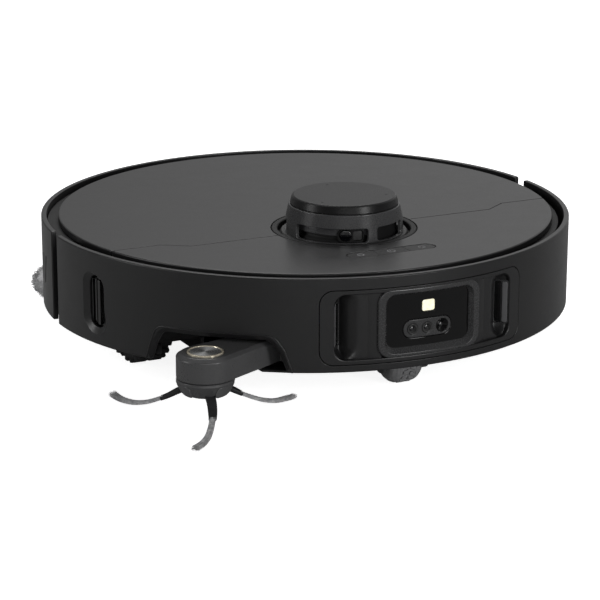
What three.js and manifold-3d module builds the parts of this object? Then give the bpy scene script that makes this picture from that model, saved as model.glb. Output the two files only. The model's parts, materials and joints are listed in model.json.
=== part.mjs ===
// Robotic floor cleaner: a round vacuum and mop with a laser turret on its lid, a sprung front
// bumper that carries the obstacle sensors, a side brush on a swinging arm and two spinning mops.
// Millimetres. +Z up, front of the robot towards -Y, the robot's own right side towards -X.
// The pieces are drawn about the round body's axis, on the floor; the whole group is then moved
// so that the origin is the floor point under the middle of the overall box, brush and mops out.
import * as THREE from "three";
import { mergeVertices } from "three/addons/utils/BufferGeometryUtils.js";
import Module from "manifold-3d";

const wasm = await Module();
wasm.setup();

// ---------------------------------------------------------------- driving dimensions
// Places are [x, y]; ranges are [low, high]; angles are degrees.
const BODY = {
  radius: 175, // outside of bumper and rear shell
  wall: 3.5, // thickness of bumper and rear shell
  top: 81.8,
  wallBottom: 22.8,
  base: 9.8, // underside of the chassis
  axisY: 10.62, // how far the body's axis lies behind the origin
};
const BODY_SEGMENTS = 60; // facets round the body
const BUMPER_ANGLE = 91; // bumper spans this far each side of the front
const SHELL_ANGLE = 94.5; // rear shell starts here
const FRAME = { inner: 164.8, outer: 168, z: [31, 73] };
const DECK_Z = [73.3, 77.3]; // fixed deck under the covers
const COVER = { radius: 163.75, bottom: 77.7, seamGap: 0.5 };
const THROUGH_TOP = [60, 100]; // heights of cuts through deck and covers
const TURRET = { centre: [0, -57], top: 103.8, segments: 32 };
const TURRET_RING = 47; // outside of the raised ring on the deck
const PULLEY = { rotor: 20, motor: 5, centre: [46, -84] }; // radii, and place of the motor
const WHEEL = { x: 129, centreYZ: [-22, 35], radius: 35, width: 20 };
const SUSPENSION_YZ = [-56, 38];
const CASTER = { centreYZ: [-134, 15], radius: 15, width: 22, swivel: [0, -128] };
const ROLLER = { centreYZ: [-62, 22.5], radius: 19.5, halfLength: 75 };
const ARM = { pivot: [-70, -135], elbow: [-84, -122], bottom: 24.8, top: 39.8 };
const BRUSH = [-135.2, -140.5]; // side brush centre, arm swung out
const MOP = {
  radius: 70,
  left: [72, 75],
  right: [-80, 109], // swung out
  pivot: [-17.5, 105.9], // of the right mop's arm
  pad: [11, 18.2], // heights, pads lifted
  holder: [18.5, 21.5],
};
const BUTTONS = { y: -121.8, halfWidth: 30.1, halfDepth: 5.35, corner: 5.3, middle: 10.5 };
const BUTTON_GAP = 0.4;
const DUST_BOX = { x: [-70, 40], y: [-6, 50] };
const FILLER = [0, 105]; // filling hole of the water tank

// ---------------------------------------------------------------- finishes
const SHELL_BLACK = 0x232325;
const TOP_GREY = 0x2c2c2e;
const INNER_BLACK = 0x1a1a1b;
const FINISH = {
  chassis: { color: INNER_BLACK, roughness: 0.6 },
  frame: { color: INNER_BLACK, roughness: 0.7 },
  button: { color: INNER_BLACK, roughness: 0.4 },
  rearShell: { color: SHELL_BLACK, roughness: 0.45 },
  bumper: { color: SHELL_BLACK, roughness: 0.5 },
  housing: { color: SHELL_BLACK, roughness: 0.35 },
  turretBase: { color: SHELL_BLACK, roughness: 0.4 },
  turretCap: { color: TOP_GREY, roughness: 0.4 },
  cover: { color: TOP_GREY, roughness: 0.5 },
  contact: { color: 0xc9b27a, roughness: 0.3, metalness: 1 },
  motor: { color: 0x9a9a9c, roughness: 0.35, metalness: 1 },
  armCap: { color: 0xc8c8c8, roughness: 0.25, metalness: 1 },
  mopShaft: { color: 0xb0b0b2, roughness: 0.3, metalness: 1 },
  rotor: { color: 0x4a4a4c, roughness: 0.5 },
  receiverLens: { color: 0x15151a, roughness: 0.1 },
  pulley: { color: 0xd8d8d8, roughness: 0.5 },
  belt: { color: 0x101010, roughness: 0.8 },
  edgeWindow: { color: 0x0c0c0e, roughness: 0.15 },
  cameraGlass: { color: 0x060607, roughness: 0.08 },
  lamp: { color: 0xfff8e0, roughness: 0.4 },
  cameraLens: { color: 0x101014, roughness: 0.1 },
  laserWindow: { color: 0x0d0d10, roughness: 0.12 },
  sideArm: { color: 0x3a3a3c, roughness: 0.45 },
  bristle: { color: 0x9a9a9a, roughness: 0.8 },
  brushHub: { color: 0x39393b, roughness: 0.5 },
  roller: { color: 0x2f3033, roughness: 0.7 },
  brushGuard: { color: 0x303032, roughness: 0.5 },
  casterFork: { color: 0x3c3c3e, roughness: 0.5 },
  casterWheel: { color: 0x4a4a4c, roughness: 0.6 },
  suspension: { color: 0x2a2a2c, roughness: 0.6 },
  greyPlastic: { color: 0x3a3a3c, roughness: 0.5 }, // wheel rims and blower housing
  tyre: { color: 0x1c1c1e, roughness: 0.85 },
  mopHolder: { color: 0x8c8c8e, roughness: 0.5 },
  mopPad: { color: 0xd8d8d8, roughness: 0.95 },
  battery: { color: 0x2458a0, roughness: 0.5 },
  board: { color: 0x1c6b3c, roughness: 0.6 },
  dustBox: { color: 0x4d5054, roughness: 0.3 },
  dustLid: { color: 0x2e2e30, roughness: 0.5 },
  filter: { color: 0xe8e8e2, roughness: 0.9 },
  tank: { color: 0x9fb3bd, roughness: 0.2 },
  impeller: { color: 0xd0d0d0, roughness: 0.4 },
};

// ---------------------------------------------------------------- ranges and outlines
const cos = (degrees) => Math.cos(THREE.MathUtils.degToRad(degrees));
const sin = (degrees) => Math.sin(THREE.MathUtils.degToRad(degrees));
const across = (half, middle = 0) => [middle - half, middle + half];
const grow = ([low, high], by) => [low - by, high + by];
const middleOf = ([low, high]) => (low + high) / 2;
// A range on the left (side 1), or its mirror image on the right (side -1).
const onSide = (side, [near, far]) => (side > 0 ? [near, far] : [-far, -near]);
const mirror = (outline, side) => outline.map(([x, y]) => [side * x, y]);

// Point at a bearing from the front, growing towards +X.
const bearing = (angle, radius) => [radius * sin(angle), -radius * cos(angle)];
const around = ([x, y], radius, angle) => [x + radius * cos(angle), y + radius * sin(angle)];

function spin([x, y], [centreX, centreY], angle) {
  const [dx, dy] = [x - centreX, y - centreY];
  return [
    centreX + cos(angle) * dx - sin(angle) * dy,
    centreY + sin(angle) * dx + cos(angle) * dy,
  ];
}

function circle([x, y], radius, count = 32) {
  return Array.from({ length: count }, (_, i) => {
    const turn = (2 * Math.PI * i) / count;
    return [x + radius * Math.cos(turn), y + radius * Math.sin(turn)];
  });
}

const rectangle = ([x0, x1], [y0, y1]) => [[x0, y0], [x1, y0], [x1, y1], [x0, y1]];

function roundRect(xRange, yRange, radius, steps = 4) {
  const [x0, x1] = grow(xRange, -radius);
  const [y0, y1] = grow(yRange, -radius);
  const corners = [[x1, y1], [x0, y1], [x0, y0], [x1, y0]];
  return corners.flatMap((centre, quarter) =>
    Array.from({ length: steps + 1 }, (_, i) =>
      around(centre, radius, 90 * quarter + (90 * i) / steps),
    ),
  );
}

// Convex hull of points, counter-clockwise.
function hull(points) {
  const sorted = points.slice().sort((a, b) => a[0] - b[0] || a[1] - b[1]);
  const cross = (o, a, b) => (a[0] - o[0]) * (b[1] - o[1]) - (a[1] - o[1]) * (b[0] - o[0]);
  const half = (ordered) => {
    const chain = [];
    for (const next of ordered) {
      while (chain.length > 1 && cross(chain.at(-2), chain.at(-1), next) <= 1e-9) chain.pop();
      chain.push(next);
    }
    chain.pop();
    return chain;
  };
  return half(sorted).concat(half(sorted.reverse()));
}

// ---------------------------------------------------------------- solids
// A closed geometry as a solid, faces turned outwards.
function solid(geometry) {
  geometry.deleteAttribute("normal");
  geometry.deleteAttribute("uv");
  const merged = mergeVertices(geometry, 1e-4);
  const index = merged.index.array;
  const triangles = [];
  for (let i = 0; i < index.length; i += 3) {
    const [a, b, c] = index.slice(i, i + 3);
    if (a !== b && b !== c && a !== c) triangles.push(a, b, c);
  }
  const make = () =>
    new wasm.Manifold(
      new wasm.Mesh({
        numProp: 3,
        vertProperties: new Float32Array(merged.attributes.position.array),
        triVerts: new Uint32Array(triangles),
      }),
    );
  const made = make();
  if (made.volume() >= 0) return made;
  for (let i = 0; i < triangles.length; i += 3) {
    [triangles[i + 1], triangles[i + 2]] = [triangles[i + 2], triangles[i + 1]];
  }
  return make();
}

// Lathe of a closed profile [[radius, height], ...]; one that starts and ends on the axis is
// closed by the axis itself.
function lathe(profile, segments) {
  const points = profile.map(([radius, height]) => new THREE.Vector2(radius, height));
  const onAxis = profile[0][0] === 0 && profile.at(-1)[0] === 0;
  if (!onAxis) points.push(points[0].clone());
  return new THREE.LatheGeometry(points, segments);
}

// Turned about a vertical axis; profile is [[radius, z], ...].
function turned(profile, [x, y] = [0, 0], segments = BODY_SEGMENTS) {
  return solid(lathe(profile, segments).rotateX(Math.PI / 2).translate(x, y, 0));
}

// Turned about an axis along X; profile is [[radius, x], ...].
function turnedX(profile, [y, z], segments) {
  return solid(lathe(profile, segments).rotateZ(-Math.PI / 2).translate(0, y, z));
}

// Ring, or disc if the inner radius is 0, about the body's axis.
const drum = ([inner, outer], zRange) => turned(rectangle([inner, outer], zRange));

function box(xRange, yRange, zRange) {
  const ranges = [xRange, yRange, zRange];
  const geometry = new THREE.BoxGeometry(...ranges.map(([low, high]) => high - low));
  return solid(geometry.translate(...ranges.map(middleOf)));
}

function rod(radius, [x, y], zRange, segments = 24) {
  const geometry = new THREE.CylinderGeometry(radius, radius, zRange[1] - zRange[0], segments);
  return solid(geometry.rotateX(Math.PI / 2).translate(x, y, middleOf(zRange)));
}

function rodX(radius, xRange, [y, z], segments) {
  const geometry = new THREE.CylinderGeometry(radius, radius, xRange[1] - xRange[0], segments);
  return solid(geometry.rotateZ(Math.PI / 2).translate(middleOf(xRange), y, z));
}

const vectors = (outline) => outline.map(([x, y]) => new THREE.Vector2(x, y));

function extrude(shape, [start, end], bevel = 0) {
  const geometry = new THREE.ExtrudeGeometry(shape, {
    depth: end - start - 2 * bevel,
    steps: 1,
    bevelEnabled: bevel > 0,
    bevelThickness: bevel,
    bevelSize: bevel,
    bevelOffset: -bevel,
    bevelSegments: 1,
  });
  return geometry.translate(0, 0, start + bevel);
}

// Upright prism, with an optional bevel at both ends.
function prism(outline, zRange, bevel = 0) {
  return solid(extrude(new THREE.Shape(vectors(outline)), zRange, bevel));
}

// Prism along X of an outline [[y, z], ...], with an optional hole.
function prismX(outline, xRange, hole) {
  const shape = new THREE.Shape(vectors(outline));
  if (hole) shape.holes.push(new THREE.Path(vectors(hole)));
  const basis = new THREE.Matrix4().makeBasis(
    new THREE.Vector3(0, 1, 0),
    new THREE.Vector3(0, 0, 1),
    new THREE.Vector3(1, 0, 0),
  );
  return solid(extrude(shape, xRange).applyMatrix4(basis));
}

// Prism of an outline [[sideways, z], ...], running outwards from a centre at a bearing.
function radialPrism(outline, angle, radii, [x, y] = [0, 0]) {
  const basis = new THREE.Matrix4().makeBasis(
    new THREE.Vector3(cos(angle), sin(angle), 0),
    new THREE.Vector3(0, 0, 1),
    new THREE.Vector3(...bearing(angle, 1), 0),
  );
  const geometry = extrude(new THREE.Shape(vectors(outline)), radii);
  return solid(geometry.applyMatrix4(basis).translate(x, y, 0));
}

// Pie slice between two bearings, reaching beyond the body.
function wedge([from, to], zRange = [-10, 120]) {
  const radius = 260;
  const steps = Math.max(2, Math.ceil((to - from) / 20));
  const outline = [[0, 0]];
  for (let i = 0; i <= steps; i++) {
    outline.push(bearing(from + ((to - from) * i) / steps, radius));
  }
  return prism(outline, zRange);
}

// ---------------------------------------------------------------- room for moving parts
// Room the folding arm and the turning brush need inside the chassis.
function armRoom() {
  const path = [6, 0, -17, -34, -50].map((angle) => spin(BRUSH, ARM.pivot, angle));
  const swept = (radius) => path.flatMap((centre) => circle(centre, radius, 16));
  const brushRoom = prism(hull(swept(33.5)), [2, 24.3]);
  return brushRoom.add(prism(hull([...swept(21), ...circle(ARM.pivot, 11, 12)]), [22, 42]));
}

const mopPath = [0, 16.2, 32.4].map((angle) => spin(MOP.right, MOP.pivot, angle));

function mopBay(clearance, zRange) {
  const radius = MOP.radius + clearance;
  const swept = hull(mopPath.flatMap((centre) => circle(centre, radius, 36)));
  return rod(radius, MOP.left, zRange, 36).add(prism(swept, zRange));
}

function mopArmRoom(clearance, zRange) {
  const outline = hull([
    ...circle(MOP.pivot, 13 + clearance, 14),
    ...mopPath.flatMap((centre) => circle(centre, 15 + clearance, 16)),
  ]);
  return prism(outline, zRange);
}

// ---------------------------------------------------------------- chassis
const UNDERSIDE = [[0, BODY.base], [125, BODY.base], [FRAME.outer, 20.8]]; // [radius, z]

function chassisPan() {
  return turned([
    ...UNDERSIDE,
    [FRAME.outer, 30.6],
    [FRAME.inner, 30.6],
    [FRAME.inner, 23.6],
    [124, 13.3],
    [0, 13.3],
  ]);
}

// The floor steps up over the mops, with a pocket over the right mop's arm.
function withMopBays(base) {
  const clearance = 2.5;
  const wall = 2;
  const room = mopBay(clearance, [0, 23.3]);
  const inside = drum([0, 166.4], [12, 60]);
  const bayWalls = mopBay(clearance + wall, [12, 26.3]).subtract(room).intersect(inside);
  const armSpace = mopArmRoom(2, [20, 37]);
  const pocket = mopArmRoom(3.8, [24, 39.5]).subtract(armSpace);
  return base
    .subtract(room)
    .add(bayWalls)
    .add(pocket.intersect(inside))
    .subtract(armSpace)
    .add(rod(4, MOP.pivot, [22.6, 38])) // pivot post of the mop arm
    .add(rod(14, MOP.left, [25, 40])) // boss of the left mop drive
    .subtract(rod(4.4, MOP.left, [20, 37.6])); // guide for its shaft
}

function withCasterWell(base) {
  return base
    .add(rod(24, CASTER.swivel, [BODY.base, 36.2], 32))
    .subtract(rod(22.3, CASTER.swivel, [5, 34.4], 32));
}

function withRollerBay(base) {
  const wall = 2;
  const width = across(84);
  const depth = [-88, -36];
  const top = 46.5;
  return base
    .add(box(width, depth, [BODY.base, top]))
    .subtract(box(grow(width, -wall), grow(depth, -wall), [5, top - wall]))
    .subtract(box(across(22), [-40, -34], [24, 42])); // duct to the dust box
}

function withWheelWells(base) {
  const wall = 1.8;
  const depth = [-67.6, 17.2];
  const top = 72.8;
  const above = turned([...UNDERSIDE, [FRAME.outer, 80], [0, 80]]);
  for (const side of [-1, 1]) {
    const width = onSide(side, [100.4, 143.2]);
    base = base
      .add(box(width, depth, [BODY.base, top]).intersect(above))
      .subtract(box(grow(width, -wall), grow(depth, -wall), [5, top - wall]));
  }
  return base;
}

function withFrontCuts(base) {
  const casterKeep = rod(25, CASTER.swivel, [5, 40]);
  const housingRoom = box(across(74), [-180, -120], [25.6, 60]).subtract(casterKeep);
  const windowRoom = wedge([-82, -67], [28, 34]).subtract(rod(160, [0, 0], [20, 40], 48));
  return base
    .subtract(housingRoom)
    .subtract(mopBay(2.5, [0, 22]))
    .subtract(windowRoom)
    .subtract(armRoom());
}

function chassisBase() {
  let base = withMopBays(chassisPan());
  base = withWheelWells(withRollerBay(withCasterWell(base)));
  base = withFrontCuts(base)
    .add(rod(6.5, ARM.pivot, [13, ARM.bottom - 0.4])) // post of the side brush arm
    .add(rod(3, ARM.pivot, [20, 41])); // its pin
  // two skid bumps on the rim of the underside
  for (const angle of [-71, -66]) base = base.add(rod(3, bearing(angle, 163.5), [17.6, 24], 12));
  return base;
}

function bodyFrame() {
  const radii = [FRAME.inner, FRAME.outer];
  // the strip above the side window keeps the ring in one piece
  const strip = drum(radii, [70.5, FRAME.z[1]]).intersect(wedge([-84, -27]));
  return drum(radii, FRAME.z)
    .subtract(box(across(74), [-180, -100], [20, 80]))
    .subtract(wedge([-64, -20], [20, 44.5]))
    .subtract(wedge([-82, -67], [20, 72.9]))
    .subtract(mopArmRoom(4.2, [20, 40]))
    .add(strip);
}

// ---------------------------------------------------------------- rear shell
// Part of the body's outer wall between two bearings.
function outerWall(angles) {
  const inner = BODY.radius - BODY.wall;
  return turned([
    [inner, BODY.wallBottom],
    [BODY.radius - 1, BODY.wallBottom],
    [BODY.radius, BODY.wallBottom + 1],
    [BODY.radius, BODY.top - 0.8],
    [BODY.radius - 0.8, BODY.top],
    [inner, BODY.top],
  ]).intersect(wedge(angles));
}

const CONTACT = { angles: { left: 171, right: 189 }, width: across(9), z: [29, 41] };

function rearShell() {
  let shell = outerWall([SHELL_ANGLE, 360 - SHELL_ANGLE]);
  // slanted exhaust slots on the right flank
  const slots = { count: 8, first: 101, pitch: 3.1 };
  const slotOutline = [[-3.6, 42], [-1.4, 42], [3.6, 61], [1.4, 61]];
  for (let i = 0; i < slots.count; i++) {
    const angle = -(slots.first + i * slots.pitch);
    shell = shell.subtract(radialPrism(slotOutline, angle, [165, 180]));
  }
  const seat = roundRect(grow(CONTACT.width, 0.4), grow(CONTACT.z, 0.4), 2, 3);
  for (const angle of Object.values(CONTACT.angles)) {
    shell = shell.subtract(radialPrism(seat, angle, [173, 180]));
  }
  return shell;
}

function chargingContact(angle) {
  const plate = radialPrism(roundRect(CONTACT.width, CONTACT.z, 1.7, 3), angle, [173.4, 180]);
  return plate.intersect(drum([170, BODY.radius + 0.2], [20, 60]));
}

// ---------------------------------------------------------------- deck and covers
// Raised ring round the turret: [radius, z].
const TURRET_RING_PROFILE = [
  [43, 76],
  [TURRET_RING, 76],
  [TURRET_RING, 81.1],
  [46.3, BODY.top],
  [43.6, BODY.top],
  [43, 81.2],
];

function topDeck() {
  // the front half stops inside the moving bumper, the rear half meets the shell
  const outline = Array.from({ length: BODY_SEGMENTS }, (_, i) => {
    const angle = (360 * i) / BODY_SEGMENTS;
    const isRear = angle > SHELL_ANGLE && angle < 360 - SHELL_ANGLE;
    return bearing(angle, isRear ? 171.2 : 168.5);
  });
  return prism(outline, DECK_Z)
    .add(turned(TURRET_RING_PROFILE, TURRET.centre, TURRET.segments))
    .subtract(rod(36.6, TURRET.centre, THROUGH_TOP, 32))
    .subtract(prism(roundRect(grow(DUST_BOX.x, 2), grow(DUST_BOX.y, 2), 6), THROUGH_TOP))
    .subtract(rod(8, FILLER, THROUGH_TOP));
}

// Line between the covers, right to left: [x, y].
const SEAM = [[-200, -47], [-124, -47], [-108, -57.8], [108, -57.8], [124, -47], [200, -47]];

// Part of the top disc in front of the seam (direction -1) or behind it (1).
function coverPart(direction) {
  const seam = SEAM.map(([x, y]) => [x, y + (direction * COVER.seamGap) / 2]);
  const outline = [...seam, [200, direction * 220], [-200, direction * 220]];
  return turned([
    [0, COVER.bottom],
    [COVER.radius, COVER.bottom],
    [COVER.radius, BODY.top - 0.8],
    [COVER.radius - 0.8, BODY.top],
    [0, BODY.top],
  ])
    .intersect(prism(outline, THROUGH_TOP))
    .subtract(rod(TURRET_RING + 0.4, TURRET.centre, THROUGH_TOP, 32));
}

// Outline of the whole button row.
function buttonRow(gap) {
  const width = across(BUTTONS.halfWidth + gap);
  return roundRect(width, across(BUTTONS.halfDepth + gap, BUTTONS.y), BUTTONS.corner + gap, 5);
}

const frontCover = () => coverPart(-1).subtract(prism(buttonRow(BUTTON_GAP), THROUGH_TOP));

const OUTER_BUTTON_X = [BUTTONS.middle + BUTTON_GAP, BUTTONS.halfWidth];
const BUTTON_X = {
  left: OUTER_BUTTON_X,
  middle: across(BUTTONS.middle),
  right: onSide(-1, OUTER_BUTTON_X),
};

const button = (xRange) =>
  prism(buttonRow(0), [78.3, 81.6]).intersect(box(xRange, [-140, -100], [70, 90]));

// ---------------------------------------------------------------- laser turret
const turretTurned = (profile) => turned(profile, TURRET.centre, TURRET.segments);

function turretBase() {
  const foot = [[36.9, 77.6], [41, 77.6], [41, 79.8], [40.4, 80.3], [36.9, 80.3]];
  const collar = [[34.6, 89.8], [37.7, 89.8], [35.7, 98.2], [34.6, 98.2]];
  const pillar = rectangle(across(2.7), [80, 90]);
  let base = turretTurned(foot).add(turretTurned(collar));
  for (const angle of [1.4, 51, 123, -165, -84]) {
    base = base.add(radialPrism(pillar, angle, [35.6, 37.5], TURRET.centre));
  }
  return base;
}

function turretCap() {
  return turretTurned([
    [0, TURRET.top],
    [32.9, TURRET.top],
    [33.8, 103.1],
    [34.8, 99.2],
    [34.1, 99.2],
    [34.1, 95.5],
    [32, 95.5],
    [32, 100.8],
    [0, 100.8],
  ]);
}

function receiverLens(clearance, radii) {
  const outline = roundRect(across(4.2 + clearance), grow([81, 88.2], clearance), 3.4);
  return radialPrism(outline, -26, radii, TURRET.centre);
}

function lidarRotor() {
  return turretTurned([
    [0, 66],
    [PULLEY.rotor, 66],
    [PULLEY.rotor, 71],
    [33.4, 73],
    [33.4, 88.6],
    [32.4, 89.4],
    [0, 89.4],
  ]).subtract(receiverLens(0.35, [28.6, 40]));
}

function lidarBelt() {
  const loop = (offset) =>
    hull([
      ...circle(TURRET.centre, PULLEY.rotor + offset, 40),
      ...circle(PULLEY.centre, PULLEY.motor + offset, 20),
    ]);
  return prism(loop(1.5), [66.6, 69.6]).subtract(prism(loop(0.35), THROUGH_TOP));
}

// ---------------------------------------------------------------- bumper
const EDGE_WINDOW_ANGLE = -74.5;

// Cut-out over the side brush arm: [sideways, z].
const ARM_CUTOUT = [
  [-43.6, 20], [43.9, 20], [43.9, 22.8], [39.4, 35.8], [38.2, 39.6], [36.2, 42],
  [33, 43], [-31, 43], [-34.6, 42.2], [-37.2, 39.8], [-38.8, 35], [-43.6, 22.8],
];

function bumperShell() {
  const opening = roundRect(across(61.2), [30.3, 71.3], 7, 5);
  const edgeSlot = roundRect(across(8.7), [30.8, 66.8], 8.6, 6);
  return outerWall([-BUMPER_ANGLE, BUMPER_ANGLE])
    .subtract(radialPrism(opening, 0, [140, 180]))
    .subtract(radialPrism(edgeSlot, EDGE_WINDOW_ANGLE, [160, 180]))
    .subtract(radialPrism(ARM_CUTOUT, -44.2, [150, 185]));
}

function edgeSensorWindow() {
  const outline = roundRect(across(9.8), [29.8, 67.8], 9.6, 6);
  return radialPrism(outline, EDGE_WINDOW_ANGLE, [166.2, 170.6]);
}

// ---------------------------------------------------------------- sensor housing
// Plan of the housing: [x, y].
const HOUSING_PLAN = [
  [-67, -180], [67, -180], [67, -149.5], [36, -149.5],
  [30, -157], [-30, -157], [-36, -149.5], [-67, -149.5],
];
// Plan of the left laser pocket: [x, y].
const LASER_POCKET = [
  [35.8, -180], [35.8, -171.5], [40, -164], [44, -158.5],
  [49, -154], [55, -152.4], [61.4, -152.4], [61.4, -180],
];
// Plan of the left laser window: [x, y].
const LASER_WINDOW = [[49.5, -155.4], [61, -157.6], [61, -160.4], [49.5, -158.2]];
const LENS = { z: 44.8, radius: 3.6, x: { left: 10.5, middle: 0, right: -10.5 } };
const LAMP = { width: across(4.4), z: [54.6, 62.2] };

function sensorHousing() {
  const nose = prism(roundRect(across(35.2), [-180, -160], 1, 1), [30.9, 70.7]);
  let housing = prism(HOUSING_PLAN, [28.8, 72.8])
    .intersect(drum([0, 171.1], [10, 90]))
    .add(nose.intersect(drum([0, 174.7], [10, 90])));
  for (const side of [-1, 1]) {
    housing = housing.subtract(prism(mirror(LASER_POCKET, side), [31, 70.6]));
  }
  return housing
    .subtract(radialPrism(roundRect(across(30), [33, 68.6], 6), 0, [170.5, 180]))
    .subtract(radialPrism(roundRect(across(29.3), [32.6, 68], 5), 0, [163, 180]));
}

function cameraGlass() {
  const lampSeat = roundRect(grow(LAMP.width, 0.4), grow(LAMP.z, 0.4), 1.2, 2);
  let glass = radialPrism(roundRect(across(29), [32.9, 67.7], 4.7), 0, [163.4, 167.5])
    .subtract(radialPrism(lampSeat, 0, [165.5, 170]));
  for (const x of Object.values(LENS.x)) {
    const lensSeat = circle([x, LENS.z], LENS.radius + 0.4, 20);
    glass = glass.subtract(radialPrism(lensSeat, 0, [165, 170]));
  }
  return glass;
}

const ledLamp = () => radialPrism(roundRect(LAMP.width, LAMP.z, 1, 2), 0, [165.9, 167.9]);
const cameraLens = (x) => radialPrism(circle([x, LENS.z], LENS.radius, 20), 0, [165.4, 168.2]);
const laserWindow = (side) => prism(mirror(LASER_WINDOW, side), [38.8, 63.8]);

// ---------------------------------------------------------------- side brush
const BRISTLE_ANGLES = [5, 123, 241];
// Centre lines of an arm and a bristle tuft: [distance from the brush centre, z].
const HUB_ARM_LINE = [[8, 17.2], [15, 15.6], [22, 11.8], [28, 8.8]];
const TUFT_LINE = [[28.4, 8.7], [35, 6.1], [45, 3.6], [56, 2.4], [67, 2.6]];

function sideArm() {
  const head = hull([...circle(BRUSH, 17.6, 28), ...circle(ARM.elbow, 11.7, 16)]);
  const link = hull([...circle(ARM.elbow, 8, 16), ...circle(ARM.pivot, 9, 16)]);
  const low = ARM.bottom - 5; // trimmed flat at the arm's bottom afterwards
  return prism(head, [low, ARM.top], 2.6)
    .add(prism(link, [low, ARM.top - 1.5], 1))
    .intersect(box([-200, 0], [-200, 0], [ARM.bottom, 60]))
    .subtract(rod(3.35, ARM.pivot, [10, 60]))
    .subtract(rod(10.9, BRUSH, [38.6, 60], 32));
}

// Rectangular bar swept along a centre line that runs out from the brush centre.
function brushSweep(line, angle, { halfWidth, halfHeight, steps }) {
  const points = line.map(([distance, z]) =>
    new THREE.Vector3(...around(BRUSH, distance, angle), z),
  );
  const shape = new THREE.Shape(vectors(rectangle(across(halfHeight), across(halfWidth))));
  const extrudePath = new THREE.CatmullRomCurve3(points);
  return solid(new THREE.ExtrudeGeometry(shape, { steps, extrudePath, bevelEnabled: false }));
}

const bristleTuft = (angle) =>
  brushSweep(TUFT_LINE, angle, { halfWidth: 2.3, halfHeight: 1.1, steps: 8 });

function sideBrushHub() {
  const profile = [[0, 24.4], [17.2, 24.4], [17.8, 22.4], [14.2, 16], [8.5, 13.1], [0, 12.8]];
  const bar = { halfWidth: 3.6, halfHeight: 1.6, steps: 5 };
  let hub = turned(profile, BRUSH, 24);
  for (const angle of BRISTLE_ANGLES) hub = hub.add(brushSweep(HUB_ARM_LINE, angle, bar));
  return hub;
}

// ---------------------------------------------------------------- main brush
// One pattern of [angle, radius] points repeated round a centre.
function toothed(centre, pattern, count, start = 0) {
  return Array.from({ length: count }, (_, i) =>
    pattern.map(([angle, radius]) => around(centre, radius, (360 * i) / count + angle + start)),
  ).flat();
}

function mainBrushRoller() {
  const vane = [[-22, 12], [-5, 12.6], [-3, ROLLER.radius], [3, ROLLER.radius], [5, 12.6]];
  return prismX(toothed(ROLLER.centreYZ, vane, 6), across(ROLLER.halfLength))
    .add(rodX(4, across(81), ROLLER.centreYZ, 16));
}

function brushGuard() {
  const opening = roundRect(across(81), [-85, -39], 3, 3);
  return prism(roundRect(across(88), [-90, -34], 5, 3), [7.4, 9.5])
    .subtract(prism(opening, [0, 20]));
}

// ---------------------------------------------------------------- caster
function casterFork() {
  const plateRadius = 21.4;
  const [y] = CASTER.centreYZ;
  let fork = rod(plateRadius, CASTER.swivel, [31, 33.8], 32);
  for (const side of [-1, 1]) {
    const cheek = onSide(side, [12.6, 17.6]);
    fork = fork
      .add(rodX(9, cheek, CASTER.centreYZ, 20))
      .add(box(cheek, [y - 7, y + 16], [15, 32]));
  }
  return fork
    .intersect(rod(plateRadius, CASTER.swivel, [0, 40], 32))
    .add(rodX(2, across(15), CASTER.centreYZ, 16)); // axle
}

function casterWheel() {
  const half = CASTER.width / 2;
  const profile = [
    [2.4, -half],
    [10.5, -half],
    [14.2, -half + 4],
    [CASTER.radius, -half + 8],
    [CASTER.radius, half - 8],
    [14.2, half - 4],
    [10.5, half],
    [2.4, half],
  ];
  return turnedX(profile, CASTER.centreYZ, 24);
}

// ---------------------------------------------------------------- drive wheels
// Arm with gearbox, pivot pin and axle stub.
function suspensionArm(side) {
  const outline = hull([...circle(SUSPENSION_YZ, 8.5, 20), ...circle(WHEEL.centreYZ, 15, 24)]);
  return prismX(outline, onSide(side, [105, 117]))
    .add(rodX(3, onSide(side, [102.7, 118]), SUSPENSION_YZ, 16))
    .add(rodX(3.5, onSide(side, [110, 136]), WHEEL.centreYZ, 20));
}

// Both rims have their recess on the +X face.
function wheelRim(side) {
  const [low, high] = across(WHEEL.width / 2, side * WHEEL.x);
  const profile = [
    [3.9, low + 2],
    [27.4, low + 1],
    [27.4, high - 1],
    [22, high - 1],
    [20, high - 3.5],
    [9, high - 3.5],
    [8, high - 1.5],
    [3.9, high - 1.5],
  ];
  return turnedX(profile, WHEEL.centreYZ, 28);
}

function wheelTyre(side) {
  const groove = WHEEL.radius - 2.2;
  const lug = [[0, groove], [5, groove], [7, WHEEL.radius], [15, WHEEL.radius]];
  const outline = toothed(WHEEL.centreYZ, lug, 20, -101);
  const bore = circle(WHEEL.centreYZ, 27.9, 28).reverse();
  return prismX(outline, across(WHEEL.width / 2, side * WHEEL.x), bore);
}

// ---------------------------------------------------------------- mops
function mopArm() {
  const outline = hull([...circle(MOP.pivot, 12, 20), ...circle(MOP.right, 14, 20)]);
  return prism(outline, [22.4, 36.6], 1)
    .subtract(rod(4.35, MOP.pivot, [10, 60]))
    .subtract(rod(4.4, MOP.right, [10, 60]));
}

const mopShaft = (centre) => rod(3.9, centre, [MOP.holder[0] + 1, 36.2]);

function mopHolder(centre) {
  const [low, high] = MOP.holder;
  return turned([[4.4, low], [62, low], [63, low + 1], [61, high], [4.4, high]], centre, 32);
}

function mopPad(centre) {
  const [low, high] = MOP.pad;
  const profile = [
    [0, low],
    [66, low],
    [MOP.radius, low + 2.6],
    [MOP.radius, high - 2],
    [68, high],
    [0, high],
  ];
  return turned(profile, centre, 32);
}

// ---------------------------------------------------------------- inside
const dustOutline = roundRect(DUST_BOX.x, DUST_BOX.y, 5, 3);

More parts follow.
